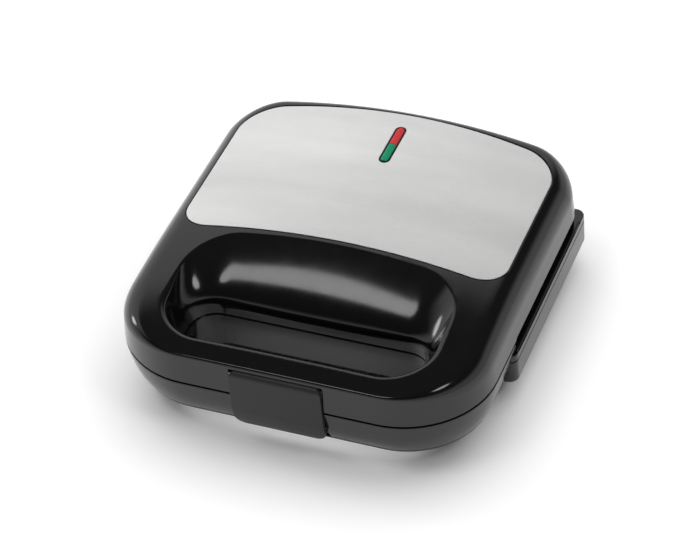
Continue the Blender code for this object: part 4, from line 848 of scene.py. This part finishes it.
def build_lid_shell():
    house, _, plate, _ = sizes()
    bottom = house.parting_z + house.parting_gap / 2
    lid = lid_form("lid_shell", 0.0, 0.0, bottom)
    roof = house.wall + plate.thickness + GAP
    hollow = cut(lid_form("lid hollow", house.wall, roof, house.parting_z - REACH), lid_well_walls())
    for cutter in (hollow, lid_well(), trim_recess()):
        cut(lid, cutter)
    root_y = HINGE_Y - KNUCKLE_RADIUS * LID_KNUCKLE_ROOT
    root = (root_y, bottom), (HINGE_Y - KNUCKLE_RADIUS, bottom)
    last = (root_y, house.parting_z + KNUCKLE_RADIUS)
    start = KNUCKLE_INNER_X + KNUCKLE_WIDTH + RUNNING_GAP
    room, reach = KNUCKLE_RADIUS + RUNNING_GAP, KNUCKLE_WIDTH + RUNNING_GAP
    for side in (-1, 1):
        cut(lid, *[barrel(low - RUNNING_GAP, low + reach, room, side) for low in lug_starts()])
        join(lid, knuckle(root, LID_KNUCKLE_TURNS, last, start, LID_KNUCKLE_WIDTH, side))
    join(lid, *clip_seat_backing())
    cut(lid, *clip_seat())
    cut(lid, lamp_hole(), *[slot_cutter(side) for side in (-1, 1)])
    return weighted(cut(lid, *hinge_bores()))


def base_form(name, inset, rise):
    """The base's outer form under the parting plane, or with an inset and a rise the hollow inside it."""
    house = sizes()[0]
    top = house.parting_z - house.parting_gap / 2
    height = top - house.handle_bottom_z
    straight = 1 - BASE_EDGE / height

    def ring(share, more, drop):
        taper = BASE_TAPER * share + BASE_BELLY * share**3 + more
        return shell_ring(inset + taper, top - share * height + share * rise - drop)

    turns = arc((0, 0), BASE_EDGE, 90, 0, WALL_STEPS)[:-1]
    rings = [ring(straight, BASE_EDGE - across, down) for across, down in turns]
    rings += [ring(straight * step / WALL_STEPS, 0.0, 0.0) for step in range(WALL_STEPS, 0, -1)]
    if inset:
        return loft(name, [*rings, shell_ring(inset, top + REACH)])
    edge = ((0.0, EDGE_SOFT), (EDGE_SOFT * EASE, EDGE_SOFT * EASE), (EDGE_SOFT, 0.0))
    return loft(name, rings + [shell_ring(more, top - drop) for more, drop in edge])


def tub_form(name, inset, rise):
    """The deeper part of the base behind the handle, down to its bottom."""
    bottom = sizes()[0].bottom_z
    points = outline(TUB_HALF_WIDTH, TUB_FRONT_Y, TUB_REAR_Y, TUB_CORNER, TUB_CORNER)
    rings = []
    for across, down in arc((0, 0), 1, 90, 0, WALL_STEPS):
        height = TUB_EDGE_Z - (TUB_EDGE_Z - bottom) * down
        rings.append(level(offset(points, inset + TUB_DRAFT + TUB_EDGE * (1 - across)), height + rise))
    return loft(name, [*rings, level(offset(points, inset), TUB_TOP_Z + rise)])


def base_well(grow=0.0):
    """The handle opening through the base: upright at the top, then flaring rearwards."""
    house, opening, _, _ = sizes()
    top = house.parting_z - house.parting_gap / 2
    flare = opening.base_rear_y - opening.rear_y
    soft = 0.0 if grow else EDGE_SOFT
    stations = [(house.bottom_z - REACH, flare, 0.0)]
    for step in range(WALL_STEPS + 1):
        share = step / WALL_STEPS
        height = house.bottom_z + share * (FLARE_TOP_Z - house.bottom_z)
        stations.append((height, flare * (1 - share) ** FLARE_POWER, 0.0))
    stations += [(top - WELL_EDGE * EDGE_SOFT, 0.0, 0.0), (top - EASE * EDGE_SOFT, 0.0, EASE * soft)]
    stations += [(top + EASE * EDGE_SOFT, 0.0, soft), (top + REACH, 0.0, soft)]
    rings = []
    front = opening.front_y + opening.front_taper
    corners = opening.front_corner, opening.rear_corner
    for height, back, more in stations:
        points = outline(opening.half_width, front, opening.rear_y + back, *corners, grow=grow + more)
        rings.append(level(points, height))
    return loft("base well", rings)


def rail_plan(side, inset):
    """A rail's plan: straight outside, with round ends where it meets the tapered wall."""
    radius = RAIL_DEPTH * RAIL_ROUND
    inner, across = RAIL_HALF_WIDTH - RAIL_DEPTH, RAIL_HALF_WIDTH - inset - radius
    front, rear = RAIL_FRONT_Y + inset, RAIL_REAR_Y - inset
    points = [(inner, front), *arc((across, front + radius), radius, -90, 0)]
    points += [*arc((across, rear - radius), radius, 0, 90), (inner, rear)]
    return [(side * x, y) for x, y in points]


def rail(side):
    """A side rail, with the thin groove that follows its round front end."""
    bottom, foot, top, soft = RAIL_BOTTOM_Z, RAIL_FOOT, RAIL_TOP_Z, RAIL_SOFT
    stations = [(bottom, foot), (bottom + EASE * foot, EASE * foot), (bottom + foot, 0.0)]
    stations += [(top - soft, 0.0), (top - EASE * soft, EASE * soft), (top, soft)]
    made = loft("rail", [level(rail_plan(side, inset), height) for height, inset in stations])
    low = RAIL_GROOVE_Z - RAIL_GROOVE / 2
    core, groove = (loft(name, [level(rail_plan(side, inset), height) for height in (low, low + RAIL_GROOVE)])
                    for name, inset in (("groove core", RAIL_GROOVE), ("groove", -REACH)))
    return cut(made, cut(groove, core))


def gland_pad():
    x, y, z = GLAND_PLACE
    low = (x - GLAND_PAD_REACH, y - GLAND_PAD_DEPTH, z - GLAND_PAD_REACH)
    return softened(block("gland pad", low, (x + GLAND_PAD_REACH, y, z + GLAND_PAD_REACH)), EDGE_SOFT)


def under_cutters():
    """The opening in the floor, the rebate that its cover lies in, and the holes for the feet."""
    bottom = sizes()[0].bottom_z
    made = []
    opening = -COVER_LAP, COVER_CORNER - COVER_LAP / 2, FLOOR + REACH
    rebate = GAP, COVER_CORNER, COVER_THICKNESS + GAP
    for grow, corner, height in (opening, rebate):
        front, rear = COVER_Y - COVER_HALF_Y - grow, COVER_Y + COVER_HALF_Y + grow
        points = outline(COVER_HALF_X + grow, front, rear, corner, corner)
        made.append(loft("floor cut", [level(points, bottom - REACH), level(points, bottom + height)]))
    for node in FEET:
        low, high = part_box(node)
        middle = (low + high) / 2
        place = (middle.x, middle.y, 0)
        made.append(cylinder("foot hole", FOOT_HOLE_RADIUS, 0, high.z + REACH, place, "Z", FOOT_STEPS))
    return made


def base_hollow():
    """The room inside the base, without what stays solid round its openings."""
    house, _, _, clip = sizes()
    top = house.parting_z + 2 * REACH
    wall = house.wall
    hollow = join(base_form("base hollow", wall, wall), tub_form("tub hollow", wall, FLOOR))
    kept = [base_well(wall)]
    for side in (-1, 1):
        near, far = sorted((side * (house.half_width - SLOT_DEPTH - wall), side * (house.half_width + REACH)))
        low = (near, SLOT_FRONT_Y - wall, RAIL_TOP_Z - 3 * wall)
        kept.append(block("slot backing", low, (far, SLOT_REAR_Y + wall, top)))
    reach = clip.half_width + wall
    low = (-reach, house.front_y - REACH, house.handle_bottom_z - REACH)
    kept.append(block("catch backing", low, (reach, CATCH_Y + HOOK_DEPTH + wall, top)))
    return cut(hollow, *kept, gland_pad())


def build_base_shell():
    house, _, _, clip = sizes()
    base = join(base_form("base_shell", 0.0, 0.0), tub_form("tub", 0.0, 0.0))
    for part in (rail(-1), rail(1), gland_pad()):
        join(base, part)
    root_y = HINGE_Y - KNUCKLE_RADIUS * LUG_ROOT
    root = (root_y, LUG_BOTTOM_Z), (HINGE_Y - KNUCKLE_RADIUS * LUG_FOOT, LUG_BOTTOM_Z)
    last = (root_y, house.parting_z - house.parting_gap / 2)
    low = KNUCKLE_INNER_X + KNUCKLE_WIDTH
    high = low + 2 * RUNNING_GAP + LID_KNUCKLE_WIDTH
    for side in (-1, 1):
        cut(base, barrel(low, high, KNUCKLE_RADIUS + RUNNING_GAP, side))
        join(base, *[knuckle(root, LUG_TURNS, last, start, KNUCKLE_WIDTH, side) for start in lug_starts()])
    cut(base, base_hollow())
    cut(base, base_well())
    half = clip.half_width + RUNNING_GAP
    front = house.front_y - 3 * REACH
    low = (-half, front, house.handle_bottom_z - REACH)
    seat = block("catch seat", low, (half, CATCH_Y, house.parting_z + REACH))
    low = (-half, front, clip.bottom_z - CATCH_ROOM)
    cut(base, seat, block("catch pocket", low, (half, CATCH_Y + HOOK_DEPTH, CATCH_BOTTOM_Z)))
    cut(base, *[slot_cutter(side) for side in (-1, 1)], *under_cutters())
    depth = GLAND_PAD_DEPTH
    cut(base, cylinder("gland bore", GLAND_RADIUS + GAP, -3 * depth, depth, GLAND_PLACE, "Y"))
    return weighted(cut(base, *hinge_bores()))


def build_trim_plate():
    """The steel plate: a slab that follows the crown, cut to its plan, with the indicator's hole."""
    plate = sizes()[2]
    reach = plate.half_width + REACH
    front, rear = plate.front_y - 3 * REACH, plate.rear_y + REACH

    def underside(across, along):
        x = across * reach
        return Vector((x, front if along < 0 else rear, crown(x) - plate.thickness))

    made = grid_solid("trim_plate", SLAB_STRIPS, 1, underside, lambda z: z + plate.thickness)
    edge = [level(trim_plan(), crown(reach) - 2 * REACH), level(trim_plan(), crown(0) + REACH)]
    cut(made, loft("plate edge", edge), operation="INTERSECT")
    return weighted(cut(softened(made, *PLATE_BEVEL), lamp_hole()), SHARP_FINE)


def build_bezel():
    plate = sizes()[2]
    top = crown(0) + LAMP_STAND
    low = top - plate.lamp_depth
    soft = plate.lamp_rim * EASE
    outer = [(low, 0.0), (top - soft, 0.0), (top - EASE * soft, -EASE * soft), (top, -soft)]
    inner = [(low - REACH, 0.0), (top - soft, 0.0), (top - EASE * soft, EASE * soft)]
    inner += [(top + EASE * soft, soft), (top + REACH, soft)]
    room = prism("lens room", lamp_outline(plate.lamp_rim), inner, "Z")
    return shade(cut(prism("bezel", lamp_outline(0.0), outer, "Z"), room))


def build_lens(name, side):
    """One half of the indicator's window: a low dome with fine ribs across it."""
    plate = sizes()[2]
    half_length = plate.lamp_length / 2 - plate.lamp_rim - GAP
    half_width = plate.lamp_width / 2 - plate.lamp_rim - GAP
    low = crown(0) + LAMP_STAND - plate.lamp_depth
    top = crown(0) + LENS_STAND
    start = GAP / 2

    def surface(across, share):
        along = start + (half_length - LENS_END - start) * (share + 1) / 2
        past = max(0.0, along - (half_length - half_width))
        width = math.sqrt(max(0.0, half_width**2 - past**2))
        valley = RIB_HEIGHT * (0.5 - 0.5 * math.cos(FULL_TURN * along / plate.rib_pitch))
        height = top - LENS_CROWN * across**2 - valley * (1 - across**RIB_FADE)
        return Vector((across * width, plate.lamp_y + side * along, height))

    return grid_solid(name, LENS_COLUMNS, LENS_ROWS, surface, lambda z: low, SHARP_FINE)


def build_clip():
    """The latch clip: a plate with a barrel along its upper edge, bent back at its foot into a hook."""
    clip = sizes()[3]
    pin_y, pin_z = clip_pin_place()
    back_y = clip.face_y + clip.thickness
    hook_y = CATCH_Y - CATCH_PLAY
    hook_top = CATCH_BOTTOM_Z - RUNNING_GAP
    points = [
        *arc((pin_y, pin_z), clip.barrel, 180, 0, 2 * WALL_STEPS),
        (pin_y + clip.barrel * CLIP_NECK, pin_z - clip.barrel * CLIP_NECK),
        (back_y, pin_z - clip.barrel),
        (back_y, clip.bend_z),
        (back_y + clip.bend_in * BEND_START, hook_top),
        (hook_y, hook_top),
        (hook_y, hook_top - HOOK_DEPTH * HOOK_TIP),
        (back_y + clip.bend_in, clip.bottom_z),
        (clip.face_y + clip.bend_in, clip.bottom_z),
    ]
    for step in range(1, WALL_STEPS + 1):
        share = step / WALL_STEPS
        height = clip.bottom_z + (clip.bend_z - clip.bottom_z) * share
        points.append((clip.face_y + clip.bend_in * (1 - share) ** BEND_POWER, height))
    made = prism("clip", points, [(-clip.half_width, 0.0), (clip.half_width, 0.0)], "X")
    stations = [(clip.face_y - REACH, 0.0), (pin_y + 2 * clip.barrel, 0.0)]
    cut(made, prism("clip face", clip_outline(0.0, clip.bottom_z), stations, "Y"), operation="INTERSECT")
    softened(made, *CLIP_BEVEL, CLIP_MERGE)
    reach = clip.half_width + CLIP_PIN_REACH
    bore = cylinder("clip bore", CLIP_PIN_RADIUS + GAP, -reach, reach, (0, pin_y, pin_z))
    return shade(cut(made, bore), SHARP_CLIP)


def fill(tree, node, inputs):
    """Links each named input of a node to an output, or sets it to a value."""
    for label, value in inputs.items():
        if isinstance(value, bpy.types.NodeSocket):
            tree.links.new(value, node.inputs[label])
        else:
            node.inputs[label].default_value = value


def add_node(tree, kind, inputs=None, **settings):
    made = tree.nodes.new("ShaderNode" + kind)
    for label, value in settings.items():
        setattr(made, label, value)
    fill(tree, made, inputs or {})
    return made.outputs


def math_node(tree, operation, first, second):
    return add_node(tree, "Math", {0: first, 1: second}, operation=operation)["Value"]


def spread(tree, source, low, high, to_low, to_high, interpolation="LINEAR"):
    """Maps a varying value from one range onto another."""
    inputs = {"Value": source, "From Min": low, "From Max": high, "To Min": to_low, "To Max": to_high}
    return add_node(tree, "MapRange", inputs, interpolation_type=interpolation)["Result"]


def stretched_noise(tree, place, scale, stretch, detail):
    drawn = add_node(tree, "Mapping", {"Scale": stretch, "Vector": place})["Vector"]
    return add_node(tree, "TexNoise", {"Detail": detail, "Scale": scale, "Vector": drawn})["Fac"]


def texture_group(name, labels, pattern):
    """A shader group that gives a pattern and its bump, with a scale and a height to set."""
    group = bpy.data.node_groups.new(name, "ShaderNodeTree")
    sockets = [(label, "INPUT") for label in ("Scale", "Height")] + [(label, "OUTPUT") for label in labels]
    for label, side in sockets:
        kind = "NodeSocketVector" if label == "Normal" else "NodeSocketFloat"
        group.interface.new_socket(name=label, in_out=side, socket_type=kind)
    given = group.nodes.new("NodeGroupInput").outputs
    result = group.nodes.new("NodeGroupOutput")
    drawn = pattern(group, add_node(group, "TexCoord")["Object"], given["Scale"])
    bump = add_node(group, "Bump", {"Height": drawn[0], "Distance": given["Height"]})
    fill(group, result, dict(zip(labels, (bump["Normal"], *drawn))))
    return group


def grain(tree, place, scale):
    """Fine even texture of a moulded or coated surface."""
    return [add_node(tree, "TexNoise", {"Detail": GRAIN_DETAIL, "Scale": scale, "Vector": place})["Fac"]]


def brushed(tree, place, scale):
    """Fine lines along X of various lengths, as an abrasive belt leaves them on steel."""
    lines = [stretched_noise(tree, place, scale, *pattern) for pattern in (FINE_LINES, BROAD_LINES)]
    cloud = stretched_noise(tree, place, STEEL_CLOUD_SCALE, *STEEL_CLOUD)
    mixed = add_node(tree, "Mix", {"Factor": BROAD_SHARE, "A": lines[0], "B": lines[1]})
    return [mixed["Result"], cloud]


def add_finish(name, tint, group, scale, height, roughness, settings=None, shade_range=0.0):
    """A Principled material with a texture group's normal and a roughness that varies a little."""
    made = bpy.data.materials.new(f"toaster {name}")
    made.use_nodes = True
    made.diffuse_color = (*tint, 1.0)
    tree = made.node_tree
    texture = add_node(tree, "Group", {"Scale": scale, "Height": height}, node_tree=group)
    base = (*tint, 1.0)
    if shade_range:
        source = texture["Cloud"] if "Cloud" in texture else texture["Variation"]
        mix = {
            "A": (*[part * (1 - shade_range) for part in tint], 1.0),
            "B": (*[min(1.0, part * (1 + shade_range)) for part in tint], 1.0),
            "Factor": spread(tree, source, *NOISE_RANGE, 0.0, 1.0),
        }
        base = add_node(tree, "Mix", mix, data_type="RGBA")["Result"]
    rough = spread(tree, texture["Variation"], *NOISE_RANGE, *roughness)
    inputs = {"Base Color": base, "Normal": texture["Normal"], "Roughness": rough, **(settings or {})}
    fill(tree, tree.nodes["Principled BSDF"], inputs)
    return made


def finishes():
    """Every finish of the toaster by name, made the first time that one is asked for."""
    found = {name.removeprefix("toaster "): made for name, made in bpy.data.materials.items()
             if name.startswith("toaster ")}
    if found:
        return found
    look = bpy.context.scene.toaster_look
    fine = texture_group("Moulded grain", ("Normal", "Variation"), grain)
    lines = texture_group("Brushed lines", ("Normal", "Variation", "Cloud"), brushed)
    table = (
        ("gloss_black", look.shell, fine, 90, 0.00001, (0.10, 0.13), {"IOR": 1.5}),
        ("matt_black", look.inner, fine, 1400, 0.0001, (0.45, 0.6)),
        ("satin_grey", look.clip, fine, 1600, 0.00005, (0.36, 0.44), {"Specular IOR Level": 0.32}),
        ("brushed_steel", look.steel, lines, 2600, 0.00005, (0.26, 0.42), METAL, 0.09),
        ("plain_steel", look.bare, fine, 500, 0.00003, (0.22, 0.34), METAL, 0.05),
        ("non_stick", look.coating, fine, 2200, 0.00006, (0.32, 0.42)),
        ("red_lens", look.red, fine, 300, 0.00003, (0.16, 0.22), LENS_PLASTIC),
        ("green_lens", look.green, fine, 300, 0.00003, (0.16, 0.22), LENS_PLASTIC),
        ("lamp_glass", look.glass, fine, 200, 0.00002, (0.03, 0.06), GLASS),
        ("board", look.board, fine, 700, 0.00008, (0.4, 0.55), None, 0.12),
        ("rubber", look.rubber, fine, 1500, 0.0001, (0.6, 0.75)),
        ("ceramic", look.ceramic, fine, 900, 0.00008, (0.5, 0.65), None, 0.04),
    )
    return {name: add_finish(name, *values) for name, *values in table}


def dress(made, finish, body, node):
    """Gives a new piece its finish and its body, and hides the CAD node that it stands for."""
    made.data.materials.clear()
    made.data.materials.append(finishes()[finish])
    for polygon in made.data.polygons:
        polygon.material_index = 0
    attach(made, body)
    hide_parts(node)


class TOASTER_OT_lid(Operator):
    """Build the lid's gloss black shell with its handle opening and rolled rim"""

    bl_idname = "toaster.lid"
    bl_label = "Lid shell"

    def execute(self, context):
        dress(build_lid_shell(), "gloss_black", "lid", "lid_housing")
        return {"FINISHED"}


class TOASTER_OT_base(Operator):
    """Build the base's gloss black shell with its rails, tub and handle opening"""

    bl_idname = "toaster.base"
    bl_label = "Base shell"

    def execute(self, context):
        dress(build_base_shell(), "gloss_black", "base", "base_housing")
        return {"FINISHED"}


class TOASTER_OT_trim(Operator):
    """Build the brushed steel plate, and the indicator with its two ribbed lenses"""

    bl_idname = "toaster.trim"
    bl_label = "Steel plate and indicator"

    def execute(self, context):
        dress(build_trim_plate(), "brushed_steel", "lid", "steel_trim_plate")
        dress(build_bezel(), "gloss_black", "lid", "indicator_bezel")
        dress(build_lens("green_window", -1), "green_lens", "lid", "green_lens")
        dress(build_lens("red_window", 1), "red_lens", "lid", "red_lens")
        return {"FINISHED"}


class TOASTER_OT_clip(Operator):
    """Build the latch clip that hangs on the lid's front"""

    bl_idname = "toaster.clip"
    bl_label = "Latch clip"

    def execute(self, context):
        dress(build_clip(), "satin_grey", "latch", "latch_clip")
        return {"FINISHED"}


class TOASTER_OT_fittings(Operator):
    """Give the frames, cooking plates, screws, pins, feet and electrical parts their finishes"""

    bl_idname = "toaster.fittings"
    bl_label = "Fittings"

    def execute(self, context):
        looks = finishes()
        for finish, nodes in CARRIED.items():
            for node in nodes:
                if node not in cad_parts:
                    raise RuntimeError(f"the frame holds no node named {node}")
                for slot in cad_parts[node].material_slots:
                    slot.material = looks[finish]
        return {"FINISHED"}


def make_camera():
    data = bpy.data.cameras.new("camera")
    data.sensor_width = PHOTO_WIDTH
    data.lens = CAMERA_LENS
    data.shift_x, data.shift_y = CAMERA_SHIFT
    data.clip_end = CAMERA_FAR
    camera = bpy.data.objects.new("camera", data)
    right = Vector((math.cos(CAMERA_TURN), math.sin(CAMERA_TURN), 0))
    away = Vector((right.y, -right.x, 0))
    back = away * math.cos(CAMERA_RISE) + Vector((0, 0, math.sin(CAMERA_RISE)))
    up = back.cross(right)
    across = right * math.cos(CAMERA_ROLL) + up * math.sin(CAMERA_ROLL)
    upright = up * math.cos(CAMERA_ROLL) - right * math.sin(CAMERA_ROLL)
    turn = Matrix((across, upright, back)).transposed().to_4x4()
    camera.matrix_world = Matrix.Translation(Vector(CAMERA_AIM) + back * CAMERA_DISTANCE) @ turn
    bpy.context.scene.collection.objects.link(camera)
    bpy.context.scene.camera = camera


def make_softbox(name, place, width, height, power):
    """A soft oval lamp that faces the toaster."""
    data = bpy.data.lights.new(name, "AREA")
    data.shape = "ELLIPSE"
    data.size, data.size_y = width, height
    data.energy = power
    lamp = bpy.data.objects.new(name, data)
    lamp.location = place
    lamp.rotation_euler = (Vector(CAMERA_AIM) - Vector(place)).to_track_quat("-Z", "Y").to_euler()
    bpy.context.scene.collection.objects.link(lamp)


def seen_directly(tree):
    """1 for camera, glossy and transmitted rays, which show the background, and 0 for the light."""
    path = add_node(tree, "LightPath")
    shown = path["Is Camera Ray"]
    for label in ("Is Glossy Ray", "Is Transmission Ray"):
        shown = math_node(tree, "MAXIMUM", shown, path[label])
    return shown


def make_floor():
    bm = bmesh.new()
    bmesh.ops.create_grid(bm, x_segments=2, y_segments=2, size=FLOOR_SIZE / 2)
    floor = as_object("floor", bm)
    made = bpy.data.materials.new("pale floor")
    made.use_nodes = True
    tree = made.node_tree
    tint = (*bpy.context.scene.toaster_look.floor, 1.0)
    mix = {"A": tint, "B": (FLOOR_SHOWN, FLOOR_SHOWN, FLOOR_SHOWN, 1.0), "Factor": seen_directly(tree)}
    base = add_node(tree, "Mix", mix, data_type="RGBA")["Result"]
    inputs = {"Roughness": FLOOR_ROUGHNESS, "Specular IOR Level": 0.0, "Base Color": base}
    fill(tree, tree.nodes["Principled BSDF"], inputs)
    floor.data.materials.append(made)


def glow(tree, direction, squeeze, towards, *ranges):
    """A soft patch of sky: its strength rises as the squeezed view turns towards a direction."""
    if squeeze:
        scaled = add_node(tree, "VectorMath", {0: direction, 1: squeeze}, operation="MULTIPLY")["Vector"]
        direction = add_node(tree, "VectorMath", {0: scaled}, operation="NORMALIZE")["Vector"]
    aim = Vector(towards).normalized()
    near = add_node(tree, "VectorMath", {0: direction, 1: aim}, operation="DOT_PRODUCT")["Value"]
    return spread(tree, near, *ranges, "SMOOTHSTEP")


def make_world():
    """A studio: white at the horizon and behind on the left, dark overhead, with soft light from above."""
    world = bpy.data.worlds.new("studio")
    bpy.context.scene.world = world
    world.use_nodes = True
    tree = world.node_tree
    tree.nodes.clear()
    direction = add_node(tree, "TexCoord")["Generated"]
    horizon, behind, below, above = (glow(tree, direction, *patch) for patch in SKY)
    shown = math_node(tree, "MAXIMUM", horizon, math_node(tree, "MULTIPLY", behind, below))
    strength = add_node(tree, "Mix", {"Factor": seen_directly(tree), "A": above, "B": shown})["Result"]
    back = add_node(tree, "Background", {"Strength": strength})["Background"]
    add_node(tree, "OutputWorld", {"Surface": back})


class TOASTER_OT_stage(Operator):
    """Set the pale floor, the soft lamps, the white sky and the camera"""

    bl_idname = "toaster.stage"
    bl_label = "Stage"

    def execute(self, context):
        make_floor()
        make_camera()
        make_world()
        for name, values in LAMPS.items():
            make_softbox(name, *values)
        context.scene.view_settings.view_transform = "Standard"
        return {"FINISHED"}


class TOASTER_PT_panel(Panel):
    """Sizes, colours and steps of the sandwich toaster"""

    bl_idname = "TOASTER_PT_panel"
    bl_label = "Sandwich toaster"
    bl_space_type = "VIEW_3D"
    bl_region_type = "UI"
    bl_category = "Toaster"

    def draw(self, context):
        for step in STEPS:
            self.layout.operator(step.bl_idname)
        for group in GROUPS:
            box = self.layout.box()
            owner = getattr(context.scene, group)
            for name in owner.bl_rna.properties.keys():
                if name not in ("rna_type", "name"):
                    box.prop(owner, name)


GROUPS = {
    "toaster_housing": HousingSizes,
    "toaster_opening": OpeningSizes,
    "toaster_plate": PlateSizes,
    "toaster_clip": ClipSizes,
    "toaster_look": LookColours,
}
STEPS = (
    TOASTER_OT_lid,
    TOASTER_OT_base,
    TOASTER_OT_trim,
    TOASTER_OT_clip,
    TOASTER_OT_fittings,
    TOASTER_OT_stage,
)


def register():
    for kind in (*GROUPS.values(), *STEPS, TOASTER_PT_panel):
        bpy.utils.register_class(kind)
    for name, kind in GROUPS.items():
        setattr(bpy.types.Scene, name, PointerProperty(type=kind))


def unregister():
    for name in GROUPS:
        delattr(bpy.types.Scene, name)
    for kind in (TOASTER_PT_panel, *reversed(STEPS), *reversed(GROUPS.values())):
        bpy.utils.unregister_class(kind)


def main():
    register()
    for step in STEPS:
        group, name = step.bl_idname.split(".")
        getattr(getattr(bpy.ops, group), name)()


if __name__ == "__main__":
    main()
